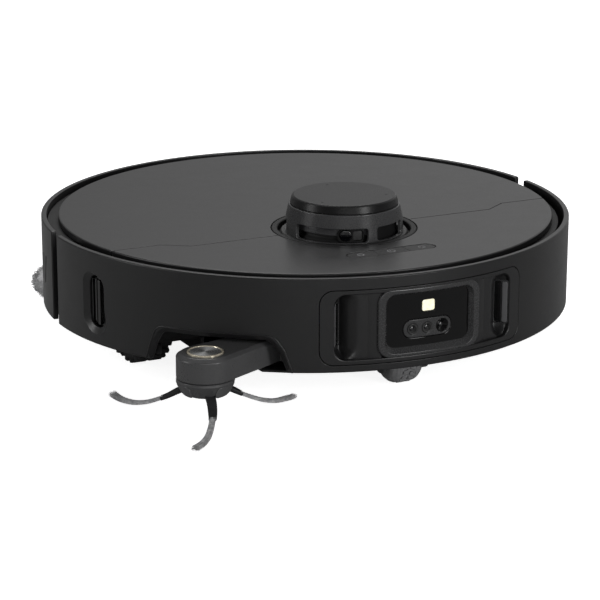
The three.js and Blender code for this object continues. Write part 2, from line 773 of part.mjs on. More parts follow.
function dustBox() {
  const wall = 2;
  const bottom = 32;
  const cavity = roundRect(grow(DUST_BOX.x, -wall), grow(DUST_BOX.y, -wall), 4, 3);
  return prism(dustOutline, [bottom, 72.5], 1)
    .subtract(prism(cavity, [bottom + wall, 80]))
    .subtract(box(across(20), [-10, 0], [38, 56])) // inlet towards the brush bay
    .subtract(box([30, 50], [6, 38], [42, 64])); // outlet to the blower
}

const dustBoxLid = () =>
  prism(dustOutline, [72.9, 76.6]).subtract(box([-30, 0], [14, 30], [75, 80]));

function waterTank() {
  const wall = 2;
  const [x, y, z, corner] = [across(62), [60, 148], [42, 72.6], 14];
  const cavity = roundRect(grow(x, -wall), grow(y, -wall), corner - wall);
  return prism(roundRect(x, y, corner), z, 1)
    .intersect(drum([0, 162], [30, 90]))
    .subtract(prism(cavity, grow(z, -wall)))
    .subtract(rod(6.5, FILLER, THROUGH_TOP));
}

const BLOWER = [72, 20];

function blowerHousing() {
  const profile = [
    [10, 36], [25, 36], [25, 64], [10, 64],
    [10, 62], [23, 62], [23, 38], [10, 38],
  ];
  return turned(profile, BLOWER, 24);
}

function blowerImpeller() {
  const blades = 7;
  const halfThick = 0.8;
  const lean = 5; // sideways shift of a blade's tip
  const [x, y] = BLOWER;
  const blade = [
    [x + 4, y - halfThick],
    [x + 21, y - halfThick + lean],
    [x + 21, y + halfThick + lean],
    [x + 4, y + halfThick],
  ];
  let impeller = rod(7, BLOWER, [40, 60], 20);
  for (let i = 0; i < blades; i++) {
    const outline = blade.map((corner) => spin(corner, BLOWER, (360 * i) / blades));
    impeller = impeller.add(prism(outline, [44, 58]));
  }
  return impeller;
}

// ---------------------------------------------------------------- assembly
const robot = new THREE.Group();
robot.name = "robotic_floor_cleaner";
robot.position.set(0, BODY.axisY, 0);

function add(name, piece, finish) {
  const { vertProperties, triVerts } = piece.getMesh();
  const geometry = new THREE.BufferGeometry();
  geometry.setAttribute("position", new THREE.BufferAttribute(vertProperties, 3));
  geometry.setIndex(new THREE.BufferAttribute(triVerts, 1));
  const flat = geometry.toNonIndexed();
  flat.computeVertexNormals();
  const mesh = new THREE.Mesh(flat, new THREE.MeshStandardMaterial(finish));
  mesh.name = name;
  robot.add(mesh);
}

add("chassis_base", chassisBase(), FINISH.chassis);
add("body_frame", bodyFrame(), FINISH.frame);
add("rear_shell", rearShell(), FINISH.rearShell);
for (const [side, angle] of Object.entries(CONTACT.angles)) {
  add(`charging_contact_${side}`, chargingContact(angle), FINISH.contact);
}
add("top_deck", topDeck(), FINISH.frame);
add("front_cover", frontCover(), FINISH.cover);
add("rear_lid", coverPart(1), FINISH.cover);
for (const [place, xRange] of Object.entries(BUTTON_X)) {
  add(`button_${place}`, button(xRange), FINISH.button);
}

add("turret_base", turretBase(), FINISH.turretBase);
add("turret_cap", turretCap(), FINISH.turretCap);
add("lidar_rotor", lidarRotor(), FINISH.rotor);
add("lidar_receiver_lens", receiverLens(0, [29, 33.6]), FINISH.receiverLens);
add("lidar_motor", rod(8, PULLEY.centre, [50, 64.6]), FINISH.motor);
add("lidar_pulley", rod(PULLEY.motor, PULLEY.centre, [65.8, 70.8], 20), FINISH.pulley);
add("lidar_belt", lidarBelt(), FINISH.belt);

add("bumper_shell", bumperShell(), FINISH.bumper);
add("edge_sensor_window", edgeSensorWindow(), FINISH.edgeWindow);
add("sensor_housing", sensorHousing(), FINISH.housing);
add("camera_glass", cameraGlass(), FINISH.cameraGlass);
add("led_lamp", ledLamp(), FINISH.lamp);
for (const [place, x] of Object.entries(LENS.x)) {
  add(`camera_lens_${place}`, cameraLens(x), FINISH.cameraLens);
}
add("laser_window_left", laserWindow(1), FINISH.laserWindow);
add("laser_window_right", laserWindow(-1), FINISH.laserWindow);

add("side_arm", sideArm(), FINISH.sideArm);
add("side_arm_cap", rod(10.5, BRUSH, [38.9, 40.3], 32), FINISH.armCap);
BRISTLE_ANGLES.forEach((angle, i) => {
  add(`side_bristle_${i + 1}`, bristleTuft(angle), FINISH.bristle);
});
add("side_brush_hub", sideBrushHub(), FINISH.brushHub);
add("main_brush_roller", mainBrushRoller(), FINISH.roller);
add("brush_guard", brushGuard(), FINISH.brushGuard);
add("brush_motor", rodX(10.5, [84.8, 99.6], [-62, 34], 20), FINISH.motor);

add("caster_fork", casterFork(), FINISH.casterFork);
add("caster_wheel", casterWheel(), FINISH.casterWheel);
for (const [name, side] of [["left", 1], ["right", -1]]) {
  add(`suspension_arm_${name}`, suspensionArm(side), FINISH.suspension);
  add(`wheel_rim_${name}`, wheelRim(side), FINISH.greyPlastic);
  add(`wheel_tyre_${name}`, wheelTyre(side), FINISH.tyre);
}

add("mop_arm_right", mopArm(), FINISH.chassis);
for (const side of ["right", "left"]) {
  add(`mop_shaft_${side}`, mopShaft(MOP[side]), FINISH.mopShaft);
  add(`mop_holder_${side}`, mopHolder(MOP[side]), FINISH.mopHolder);
  add(`mop_pad_${side}`, mopPad(MOP[side]), FINISH.mopPad);
}

const batteryOutline = roundRect(across(54), [-144, -101], 5, 3);
add("battery_pack", prism(batteryOutline, [42.5, 68], 1.2), FINISH.battery);
add("main_board", box(across(50), [-143, -102], [69.2, 70.8]), FINISH.board);
add("dust_box", dustBox(), FINISH.dustBox);
add("dust_box_lid", dustBoxLid(), FINISH.dustLid);
add("dust_filter", box([26, 37.4], [2, 42], [38, 68]), FINISH.filter);
add("water_tank", waterTank(), FINISH.tank);
add("blower_housing", blowerHousing(), FINISH.greyPlastic);
add("blower_impeller", blowerImpeller(), FINISH.impeller);

export default robot;
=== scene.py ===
"""A round robot vacuum and mop with a laser turret: its looks, laid over the CAD pieces.

Shapes are written in millimetres about the axis of the round body, with the floor at z = 0.
The front faces -Y, the robot's left is +X and its top +Z. The origin of the CAD frame lies
10.62 mm in front of that axis, and the CAD frame is in metres.

A mesh is a tuple (vertices, faces, normals). A surface is a function that lays flat (u, v)
points in space, with a depth into the material.
"""

import json
import math
import random
from math import cos, pi, sin

import bmesh
import bpy
import numpy as np
from mathutils import Matrix, Vector
from mathutils.geometry import delaunay_2d_cdt

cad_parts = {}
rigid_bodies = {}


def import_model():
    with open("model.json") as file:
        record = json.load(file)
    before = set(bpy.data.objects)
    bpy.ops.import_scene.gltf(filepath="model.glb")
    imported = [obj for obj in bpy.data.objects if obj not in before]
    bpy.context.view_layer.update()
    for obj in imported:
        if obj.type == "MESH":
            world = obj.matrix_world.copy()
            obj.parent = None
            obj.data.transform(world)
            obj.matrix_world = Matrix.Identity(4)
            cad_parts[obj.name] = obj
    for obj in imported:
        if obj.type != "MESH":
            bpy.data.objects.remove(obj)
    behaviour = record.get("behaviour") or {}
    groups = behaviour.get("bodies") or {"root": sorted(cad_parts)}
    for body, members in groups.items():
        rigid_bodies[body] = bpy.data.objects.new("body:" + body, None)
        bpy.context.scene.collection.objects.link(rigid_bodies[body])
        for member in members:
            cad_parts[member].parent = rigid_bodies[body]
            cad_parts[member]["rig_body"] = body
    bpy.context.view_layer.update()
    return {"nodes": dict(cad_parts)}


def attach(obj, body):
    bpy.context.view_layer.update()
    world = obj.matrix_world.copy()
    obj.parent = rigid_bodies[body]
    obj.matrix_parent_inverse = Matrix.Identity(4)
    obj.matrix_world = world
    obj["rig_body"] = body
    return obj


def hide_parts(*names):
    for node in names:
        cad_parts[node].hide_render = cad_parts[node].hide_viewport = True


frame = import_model()
random.seed(7)
RNG = np.random.default_rng(7)

rad, deg = math.radians, math.degrees

# ---------------------------------------------------------------- driving dimensions, mm
AXIS_Y = 10.62  # the body's axis in the CAD frame
BODY_R = 175.0
WALL = 3.5  # thickness of the bumper and the rear shell
WALL_Z, RIM_Z = 22.8, 81.8  # lower and upper edge of that wall
BUMPER_ANGLE = 91.0  # the bumper reaches this far to each side of the front, degrees
SHELL_ANGLE = 94.5  # the rear shell starts here
TURRET = (0.0, -57.0)
BRUSH = (-135.2, -140.5)  # the side brush
ARM_PIVOT = (-70.0, -135.0)  # where the side brush's arm turns
MOP_LEFT, MOP_RIGHT = (72.0, 75.0), (-80.0, 109.0)
MOP_PIVOT = (-17.5, 105.9)
SIDES = (("left", 1), ("right", -1))


def cad_y(y):
    """A y of this script, in mm, as a y of the CAD frame, in metres."""
    return y / 1000 + AXIS_Y / 1000


# ================================================================ materials
def linear(colour):
    """A display colour as linear light."""
    return tuple(v / 12.92 if v <= 0.04045 else ((v + 0.055) / 1.055) ** 2.4 for v in colour)


def tint(colour, factor, lift=0.0):
    return tuple(v * factor + lift for v in colour)


class Graph:
    """Helpers over one node tree. An input is given either a value or a socket to link."""

    def __init__(self, tree):
        self.tree = tree
        tree.nodes.clear()

    def feed(self, node, key, value):
        socket = node.inputs[key]
        if isinstance(value, bpy.types.NodeSocket):
            self.tree.links.new(value, socket)
        elif socket.type == "RGBA" and len(value) == 3:
            socket.default_value = (*value, 1)
        else:
            socket.default_value = value

    def node(self, kind, inputs=None, **settings):
        node = self.tree.nodes.new(kind)
        for key, value in settings.items():
            setattr(node, key, value)
        for key, value in (inputs or {}).items():
            self.feed(node, key, value)
        return node

    def ramp(self, value, span=(0.0, 1.0), to=(0.0, 1.0)):
        """Maps the range span onto the range to."""
        inputs = {"From Min": span[0], "From Max": span[1], "To Min": to[0], "To Max": to[1],
                  "Value": value}
        return self.node("ShaderNodeMapRange", inputs).outputs["Result"]

    def maths(self, operation, *values):
        inputs = dict(enumerate(values))
        return self.node("ShaderNodeMath", inputs, operation=operation).outputs[0]


class Mat(Graph):
    """A principled material under construction."""

    def __init__(self, name, colour, rough, metallic=0.0, specular=0.5):
        self.material = bpy.data.materials.new(name)
        self.material.use_nodes = True
        super().__init__(self.material.node_tree)
        output = self.node("ShaderNodeOutputMaterial")
        self.shader = self.node("ShaderNodeBsdfPrincipled")
        self.feed(output, 0, self.shader.outputs[0])
        self.set("Base Color", colour)
        self.set("Roughness", rough)
        self.set("Metallic", metallic)
        self.set("Specular IOR Level", specular)
        self.coords = self.node("ShaderNodeTexCoord").outputs["Object"]
        self.normal = None

    def set(self, name, value):
        self.feed(self.shader, name, value)

    def noise(self, scale, detail=3.0, roughness=0.55, coords=None):
        inputs = {"Scale": scale, "Detail": detail, "Roughness": roughness,
                  "Vector": coords or self.coords}
        return self.node("ShaderNodeTexNoise", inputs).outputs["Fac"]

    def mix(self, factor, first, second):
        inputs = {6: first, 7: second, 0: factor}
        return self.node("ShaderNodeMix", inputs, data_type="RGBA").outputs[2]

    def bump(self, height, strength, distance):
        """Adds relief on top of any relief already there."""
        inputs = {"Strength": strength, "Distance": distance, "Height": height}
        if self.normal is not None:
            inputs["Normal"] = self.normal
        self.normal = self.node("ShaderNodeBump", inputs).outputs["Normal"]
        self.set("Normal", self.normal)


def plastic(name, colour, rough, grain=0.25, grain_scale=2600.0, wear=0.25, vary=0.10,
            specular=0.5):
    """Moulded plastic: fine grain, slow tone drift, faint haze and lighter worn edges."""
    colour = linear(colour)
    mat = Mat(name, colour, rough, specular=specular)
    drift = mat.noise(scale=14.0)
    fleck = mat.noise(scale=900.0, detail=2.0)
    tone = mat.mix(mat.ramp(drift, span=(0.3, 0.7)),
                   tint(colour, 1 - vary), tint(colour, 1 + vary, lift=0.0006))
    tone = mat.mix(mat.ramp(fleck, span=(0.45, 0.75), to=(0.0, 0.35)),
                   tone, tint(colour, 1.25, lift=0.001))
    pointed = mat.node("ShaderNodeNewGeometry").outputs["Pointiness"]
    edges = mat.ramp(pointed, span=(0.515, 0.60), to=(0.0, wear))
    patches = mat.ramp(mat.noise(scale=260.0, detail=5.0), span=(0.35, 0.62), to=(0.25, 1.0))
    scuff = mat.maths("MULTIPLY", edges, patches)
    mat.set("Base Color", mat.mix(scuff, tone, tint(colour, 2.2, lift=0.012)))
    haze = mat.ramp(mat.noise(scale=48.0, detail=6.0, roughness=0.65),
                    span=(0.3, 0.7), to=(-0.018, 0.022))
    fine = mat.ramp(mat.noise(scale=1500.0, detail=2.0), span=(0.3, 0.7), to=(-0.03, 0.03))
    uneven = mat.maths("ADD", mat.maths("ADD", haze, fine), rough)
    polish = mat.maths("MULTIPLY", scuff, 0.12)  # worn edges are smoother
    mat.set("Roughness", mat.maths("SUBTRACT", uneven, polish))
    mat.bump(mat.noise(scale=grain_scale, detail=2.0, roughness=0.5),
             strength=grain, distance=0.00008)
    mat.bump(mat.noise(scale=60.0, detail=2.0), strength=0.03, distance=0.0004)
    return mat.material


def turned_metal_with_painted_sheen(name, colour, rough, centre):
    """A turned face: streaks run round the centre, and two bright fans of sheen are painted into
    its colour.
    """
    colour = linear(colour)
    mat = Mat(name, colour, rough, metallic=0.3)
    offset = mat.node("ShaderNodeVectorMath", {0: mat.coords, 1: centre},
                      operation="SUBTRACT").outputs[0]
    turn = mat.node("ShaderNodeTexGradient", {0: offset}, gradient_type="RADIAL")
    radius = mat.node("ShaderNodeVectorMath", {0: offset}, operation="LENGTH")
    rings = mat.node(
        "ShaderNodeTexNoise",
        {"Scale": 5200.0, "Detail": 4.0, "W": radius.outputs["Value"]},
        noise_dimensions="1D",
    ).outputs["Fac"]
    # two bright fans of painted sheen per turn, narrowed by the power
    painted_sheen_fan = mat.maths("SINE", mat.maths("MULTIPLY", turn.outputs["Fac"], 4 * pi), 0)
    painted_sheen_fan = mat.maths("ADD", mat.maths("MULTIPLY", painted_sheen_fan, 0.5), 0.5)
    painted_sheen_fan = mat.maths("POWER", painted_sheen_fan, 2.4)
    # painted sheen: the colour is dark between the fans and full on them
    shade = mat.mix(painted_sheen_fan, tint(colour, 0.13), colour)
    shade = mat.mix(mat.ramp(rings, span=(0.35, 0.7), to=(0.0, 0.25)), shade, tint(colour, 0.45))
    mat.set("Base Color", shade)
    mat.set("Anisotropic", 0.7)
    mat.set("Roughness", mat.ramp(rings, span=(0.3, 0.7), to=(rough * 0.8, rough * 1.5)))
    mat.bump(rings, strength=0.15, distance=0.00003)
    return mat.material


def brushed_metal(name, colour, rough, stretch, metallic=1.0):
    """Streaked and faintly blotched metal; stretch scales the streaks on each axis."""
    colour = linear(colour)
    mat = Mat(name, colour, rough, metallic=metallic)
    mapping = mat.node("ShaderNodeMapping", {"Scale": stretch, "Vector": mat.coords})
    streak = mat.noise(scale=900.0, detail=4.0, coords=mapping.outputs[0])
    blot = mat.noise(scale=55.0, detail=5.0)
    tone = mat.mix(mat.ramp(streak, span=(0.35, 0.7), to=(0.0, 0.5)), colour, tint(colour, 0.6))
    tone = mat.mix(mat.ramp(blot, span=(0.5, 0.75), to=(0.0, 0.35)), tone, tint(colour, 0.75))
    mat.set("Base Color", tone)
    mat.set("Roughness", mat.ramp(blot, span=(0.3, 0.7), to=(rough * 0.75, rough * 1.5)))
    mat.bump(streak, strength=0.2, distance=0.00004)
    return mat.material


def rubber(name, colour, rough):
    """Matt rubber with a patchy film of dust."""
    colour = linear(colour)
    mat = Mat(name, colour, rough, specular=0.35)
    dust = mat.ramp(mat.noise(scale=140.0, detail=6.0, roughness=0.65),
                    span=(0.48, 0.72), to=(0.0, 0.5))
    mat.set("Base Color", mat.mix(dust, colour, tint(colour, 1.7, lift=0.012)))
    mat.set("Roughness", mat.ramp(mat.noise(scale=300.0, detail=4.0),
                                  span=(0.3, 0.7), to=(rough - 0.1, rough + 0.12)))
    mat.bump(mat.noise(scale=2400.0), strength=0.35, distance=0.00012)
    return mat.material


def fibre(name, colour, colour2, rough, sheen):
    """Bristle or yarn whose strands vary between two colours, with darker lanes."""
    colour = linear(colour)
    mat = Mat(name, colour, rough, specular=0.2)
    strand = mat.noise(scale=420.0, detail=2.0)
    lane = mat.noise(scale=60.0)
    tone = mat.mix(mat.ramp(strand, span=(0.35, 0.65)), colour, linear(colour2))
    tone = mat.mix(mat.ramp(lane, span=(0.45, 0.7), to=(0.0, 0.4)), tone, tint(colour, 0.72))
    mat.set("Base Color", tone)
    mat.set("Sheen Weight", sheen)
    mat.set("Roughness", mat.ramp(strand, span=(0.3, 0.7),
                                  to=(rough - 0.12, min(1.0, rough + 0.08))))
    mat.bump(mat.noise(scale=3200.0, detail=2.0), strength=0.3, distance=0.0001)
    return mat.material


def glossy(name, colour, rough, coat, smudge=0.08, specular=0.6):
    """Dark glass or gloss plastic with a smudged film."""
    colour = linear(colour)
    mat = Mat(name, colour, rough, specular=specular)
    film = mat.noise(scale=70.0, detail=6.0, roughness=0.6)
    mat.set("Base Color", mat.mix(mat.ramp(film, span=(0.45, 0.75), to=(0.0, 0.5)),
                                  colour, tint(colour, 1.3, lift=0.0015)))
    mat.set("Roughness", mat.ramp(film, span=(0.4, 0.75), to=(rough, rough + smudge)))
    mat.set("Coat Weight", coat)
    mat.set("Coat Roughness", 0.03)
    mat.bump(mat.noise(scale=35.0, detail=2.0), strength=0.02, distance=0.0003)
    return mat.material


def lamp(name):
    """Ivory lamp diffuser with a pattern of fine cells."""
    mat = Mat(name, linear((0.98, 0.97, 0.90)), rough=0.35)
    cell = mat.node("ShaderNodeTexVoronoi", {"Scale": 700.0, "Vector": mat.coords},
                    feature="F1").outputs["Distance"]
    tone = mat.mix(mat.ramp(cell, span=(0.1, 0.7)),
                   linear((1.0, 0.99, 0.93)), linear((0.95, 0.93, 0.80)))
    mat.set("Base Color", tone)
    mat.set("Emission Color", tone)
    mat.set("Emission Strength", 0.55)
    mat.bump(cell, strength=0.4, distance=0.0002)
    return mat.material


def circuit_board(name):
    """Green board with a grid of paler lines."""
    green = linear((0.05, 0.28, 0.14))
    mat = Mat(name, green, rough=0.4)
    brick = mat.node("ShaderNodeTexBrick", {
        "Scale": 160.0, "Color1": green, "Color2": linear((0.06, 0.34, 0.17)),
        "Mortar": linear((0.10, 0.42, 0.22)), "Mortar Size": 0.03, "Vector": mat.coords,
    })
    mat.set("Base Color", brick.outputs["Color"])
    mat.bump(brick.outputs["Fac"], strength=0.2, distance=0.00008)
    mat.set("Roughness", mat.ramp(mat.noise(scale=300.0), span=(0.3, 0.7), to=(0.3, 0.55)))
    return mat.material


def filter_paper(name):
    """Pleated off-white paper, painted darker in the pleats' valleys as shade."""
    mat = Mat(name, linear((0.86, 0.86, 0.82)), rough=0.95)
    pleats = mat.node("ShaderNodeTexWave",
                      {"Scale": 110.0, "Distortion": 0.3, "Vector": mat.coords},
                      bands_direction="Y").outputs["Fac"]
    # painted shade: the colour darkens where the pleats' relief is low
    mat.set("Base Color", mat.mix(pleats, linear((0.55, 0.55, 0.52)), linear((0.92, 0.92, 0.89))))
    mat.bump(pleats, strength=0.8, distance=0.001)
    mat.bump(mat.noise(scale=1800.0), strength=0.2, distance=0.0001)
    return mat.material


def clear_plastic(name, colour, rough, transmission):
    colour = linear(colour)
    mat = Mat(name, colour, rough)
    film = mat.noise(scale=60.0, detail=5.0)
    mat.set("Transmission Weight", transmission)
    mat.set("IOR", 1.49)
    mat.set("Roughness", mat.ramp(film, span=(0.4, 0.75), to=(rough, rough + 0.15)))
    mat.set("Base Color", mat.mix(mat.ramp(film, span=(0.4, 0.8), to=(0.0, 0.6)),
                                  colour, tint(colour, 0.8)))
    mat.bump(mat.noise(scale=1200.0), strength=0.05, distance=0.00005)
    return mat.material


BADGE_CENTRE = (BRUSH[0] / 1000, cad_y(BRUSH[1]), 0.0402)  # of the turned streaks, metres
MATERIALS = {
    "bumper": plastic("bumper_plastic", (0.088, 0.088, 0.091), rough=0.36, grain=0.16),
    "shell": plastic("shell_plastic", (0.088, 0.088, 0.091), rough=0.38, grain=0.16),
    "cover": plastic("cover_plastic", (0.095, 0.095, 0.098), rough=0.33, grain=0.12,
                     grain_scale=3200.0, wear=0.15, vary=0.05),
    "turret": plastic("turret_plastic", (0.27, 0.27, 0.273), rough=0.28, grain=0.14,
                      grain_scale=3200.0, wear=0.18, vary=0.05),
    "inner": plastic("inner_plastic", (0.085, 0.085, 0.087), rough=0.55, grain=0.30, wear=0.2),
    # near-black plastic; on the camera backing, the pockets' back tray and the lidar skirt it is
    # painted shade
    "dark_and_painted_shade": plastic("dark_plastic_and_painted_shade", (0.035, 0.035, 0.037), rough=0.6, grain=0.3, wear=0.1,
                    specular=0.25),
    "insert": plastic("insert_plastic", (0.098, 0.098, 0.101), rough=0.33, grain=0.14, wear=0.0),
    "arm": plastic("arm_plastic", (0.285, 0.285, 0.288), rough=0.30, grain=0.2, wear=0.2),
    "grey": plastic("grey_plastic", (0.46, 0.46, 0.47), rough=0.5, grain=0.3),
    "rotor": plastic("rotor_plastic", (0.26, 0.26, 0.265), rough=0.32, grain=0.12),
    "button": plastic("button_plastic", (0.06, 0.06, 0.062), rough=0.5, grain=0.2, wear=0.1,
                      specular=0.25),
    "icon": plastic("icon_print", (0.62, 0.62, 0.63), rough=0.6, grain=0.05, wear=0.0),
    "glass": glossy("gloss_window", (0.010, 0.010, 0.012), rough=0.06, coat=0.12, specular=0.3),
    "window": glossy("sensor_window", (0.02, 0.02, 0.023), rough=0.10, coat=0.3),
    "lens": glossy("lens_glass", (0.03, 0.03, 0.045), rough=0.02, coat=1.0, smudge=0.02),
    "lens_ring": plastic("lens_ring_plastic", (0.20, 0.20, 0.20), rough=0.30, grain=0.1),
    # a paler copy of the sensor module's plastic: painted highlight on the frames round the
    # camera and laser windows
    "bezel": plastic("bezel_plastic_painted_highlight", (0.205, 0.205, 0.208), rough=0.26, grain=0.06, wear=0.0,
                     vary=0.05),
    "shade": plastic("window_shade_plastic", (0.36, 0.36, 0.365), rough=0.30, grain=0.08),
    # tyre rubber made far paler for the caster: painted light on the caster under the body
    "roller": rubber("caster_rubber_painted_light", (0.50, 0.50, 0.505), rough=0.5),
    "turret_cap": plastic("turret_cap_plastic", (0.100, 0.100, 0.102), rough=0.30, grain=0.10,
                          grain_scale=3200.0, wear=0.1, vary=0.05, specular=0.2),
    "lamp": lamp("lamp_diffuser"),
    "steel": brushed_metal("steel", (0.66, 0.66, 0.67), rough=0.28, stretch=(1, 1, 12)),
    "ring": brushed_metal("ring_metal", (0.97, 0.93, 0.84), rough=0.2, stretch=(1, 1, 1),
                          metallic=0.6),
    "badge": turned_metal_with_painted_sheen("cap_metal_painted_sheen", (0.97, 0.97, 0.97), rough=0.24, centre=BADGE_CENTRE),
    "contact": brushed_metal("contact_metal", (0.82, 0.70, 0.46), rough=0.26, stretch=(1, 1, 8)),
    "tyre": rubber("tyre_rubber", (0.13, 0.13, 0.135), rough=0.8),
    "belt": rubber("belt_rubber", (0.07, 0.07, 0.07), rough=0.7),
    "brush": rubber("brush_rubber", (0.17, 0.17, 0.175), rough=0.62),
    "sleeve": rubber("sleeve_rubber", (0.14, 0.14, 0.145), rough=0.5),
    "bristle": fibre("bristle_nylon", (0.60, 0.60, 0.61), (0.80, 0.80, 0.80), rough=0.55,
                     sheen=0.1),
    "roller_bristle": fibre("roller_bristle", (0.20, 0.20, 0.21), (0.34, 0.34, 0.35), rough=0.6,
                            sheen=0.1),
    "mop": fibre("mop_fabric", (0.72, 0.72, 0.73), (0.86, 0.86, 0.86), rough=0.95, sheen=0.5),
    "filter": filter_paper("filter_paper"),
    "battery": plastic("battery_wrap", (0.10, 0.22, 0.42), rough=0.32, grain=0.1, vary=0.15),
    "board": circuit_board("circuit_board"),
    "tank": clear_plastic("tank_plastic", (0.62, 0.70, 0.74), rough=0.12, transmission=0.55),
    "dust": clear_plastic("dust_box_plastic", (0.30, 0.32, 0.34), rough=0.14, transmission=0.45),
}


# ================================================================ flat outlines
def fillet(points, radii, closed=True, step=15.0, facets=0):
    """Rounds a polyline's corners. Returns the points and the left normal at each.

    A corner has a facet per step degrees, or the number given as facets."""
    points = [np.array(point, float) for point in points]
    count = len(points)
    if np.isscalar(radii):
        radii = [radii] * count
    result, normals = [], []
    for i in range(count):
        here = points[i]
        if not closed and i in (0, count - 1):
            ahead = points[1] - points[0] if i == 0 else points[-1] - points[-2]
            ahead = ahead / np.linalg.norm(ahead)
            result.append(here)
            normals.append((-ahead[1], ahead[0]))
            continue
        arrive, leave = here - points[i - 1], points[(i + 1) % count] - here
        length_in, length_out = np.linalg.norm(arrive), np.linalg.norm(leave)
        arrive, leave = arrive / length_in, leave / length_out
        bend = math.atan2(arrive[0] * leave[1] - arrive[1] * leave[0], float(arrive @ leave))
        normal = np.array((-arrive[1], arrive[0]))
        if abs(bend) < rad(0.5):
            result.append(here)
            normals.append(tuple(normal))
            continue
        tangent = math.tan(abs(bend) / 2)
        setback = min(max(radii[i], 0.03) * tangent, 0.48 * length_in, 0.48 * length_out)
        radius = setback / tangent
        if facets:
            pieces = facets
        elif radius > 0.12:
            pieces = max(1, math.ceil(deg(abs(bend)) / step))
        else:
            pieces = 1 if abs(bend) < rad(60) else 2
        sign = 1 if bend > 0 else -1
        centre = here - arrive * setback + normal * radius * sign
        for j in range(pieces + 1):
            turn = bend * j / pieces
            turned = np.array((normal[0] * cos(turn) - normal[1] * sin(turn),
                               normal[0] * sin(turn) + normal[1] * cos(turn)))
            result.append(centre - turned * radius * sign)
            normals.append(tuple(turned))
    return np.array(result), np.array(normals)


def resample(loop, step):
    """Cuts the sides of a closed loop into pieces no longer than step."""
    result = []
    for start, end in zip(loop, np.roll(loop, -1, 0)):
        pieces = max(1, math.ceil(np.linalg.norm(end - start) / step))
        result += [start + (end - start) * i / pieces for i in range(pieces)]
    return np.array(result)


def rounded(x0, x1, y0, y1, radius, step=12.0):
    """Rounded rectangle, counter-clockwise."""
    return fillet([(x0, y0), (x1, y0), (x1, y1), (x0, y1)], radius, True, step)[0]


def rounded_arc(surface_radius, angle0, angle1, z0, z1, radius, step):
    """Rounded rectangle on a cylinder, between two angles from the front in degrees."""
    return rounded(rad(angle0) * surface_radius, rad(angle1) * surface_radius, z0, z1,
                   radius, step)


def inset(box, gap):
    x0, x1, y0, y1 = box
    return x0 + gap, x1 - gap, y0 + gap, y1 - gap


def circle(x, y, radius, count=96):
    turn = np.arange(count) * 2 * pi / count
    return np.column_stack([x + radius * np.cos(turn), y + radius * np.sin(turn)])


def arc(x, y, radius, angle0, angle1, count):
    turn = np.radians(np.linspace(angle0, angle1, count))
    return np.column_stack([x + radius * np.cos(turn), y + radius * np.sin(turn)])


def sector(x, y, outer, inner, angle0, angle1, count=12):
    """Part of a ring between two angles."""
    return np.concatenate([arc(x, y, outer, angle0, angle1, count),
                           arc(x, y, inner, angle1, angle0, count)])


def hull(points):
    """Convex hull, counter-clockwise."""
    ordered = sorted(map(tuple, np.round(np.asarray(points, float), 6)))

    def half(points):
        chain = []
        for new in points:
            while len(chain) > 1:
                (x0, y0), (x1, y1) = chain[-2:]
                if (x1 - x0) * (new[1] - y0) - (y1 - y0) * (new[0] - x0) > 1e-9:
                    break
                chain.pop()
            chain.append(new)
        return chain[:-1]

    return np.array(half(ordered) + half(ordered[::-1]))


def area(loop):
    x, y = loop[:, 0], loop[:, 1]
    return 0.5 * float(np.sum(x * np.roll(y, -1) - np.roll(x, -1) * y))


def wound(loop, sign):
    """The loop, counter-clockwise for sign 1 and clockwise for -1."""
    loop = np.asarray(loop, float)
    return loop if area(loop) * sign > 0 else loop[::-1].copy()


def mirrored(half):
    """A turned profile completed with its mirror image at negative heights."""
    return half + [(radius, -height) for radius, height in half[::-1]]


# ================================================================ plates
def edge(thickness, top, bottom, across=0.0, down=0.0, reach=1.0):
    """Section of a plate's edge: rows of (offset into the material, depth, and their normal).

    top and bottom are rounding radii. With across and down the front is chamfered by that
    much, and top rounds both of its corners. reach scales the offsets."""
    if across:
        corners = [(across + 8, 0), (across, 0), (0, down), (0, thickness), (8, thickness)]
        points, normals = fillet(corners, [0, top, top, bottom, 0], False, facets=4)
    else:
        corners = [(8, 0), (0, 0), (0, thickness), (8, thickness)]
        points, normals = fillet(corners, [0, top, bottom, 0], False, facets=4 if top < 1 else 6)
    return np.hstack([points[1:-1] * (reach, 1.0), normals[1:-1]])


def inside(loops, points):
    """Even-odd test of points against closed loops."""
    result = np.zeros(len(points), bool)
    x, y = points[:, 0], points[:, 1]
    for loop in loops:
        for (x1, y1), (x2, y2) in zip(loop, np.roll(loop, -1, 0)):
            if y1 != y2:
                crosses = (y1 > y) != (y2 > y)
                result ^= crosses & (x < (x2 - x1) * (y - y1) / (y2 - y1) + x1)
    return result


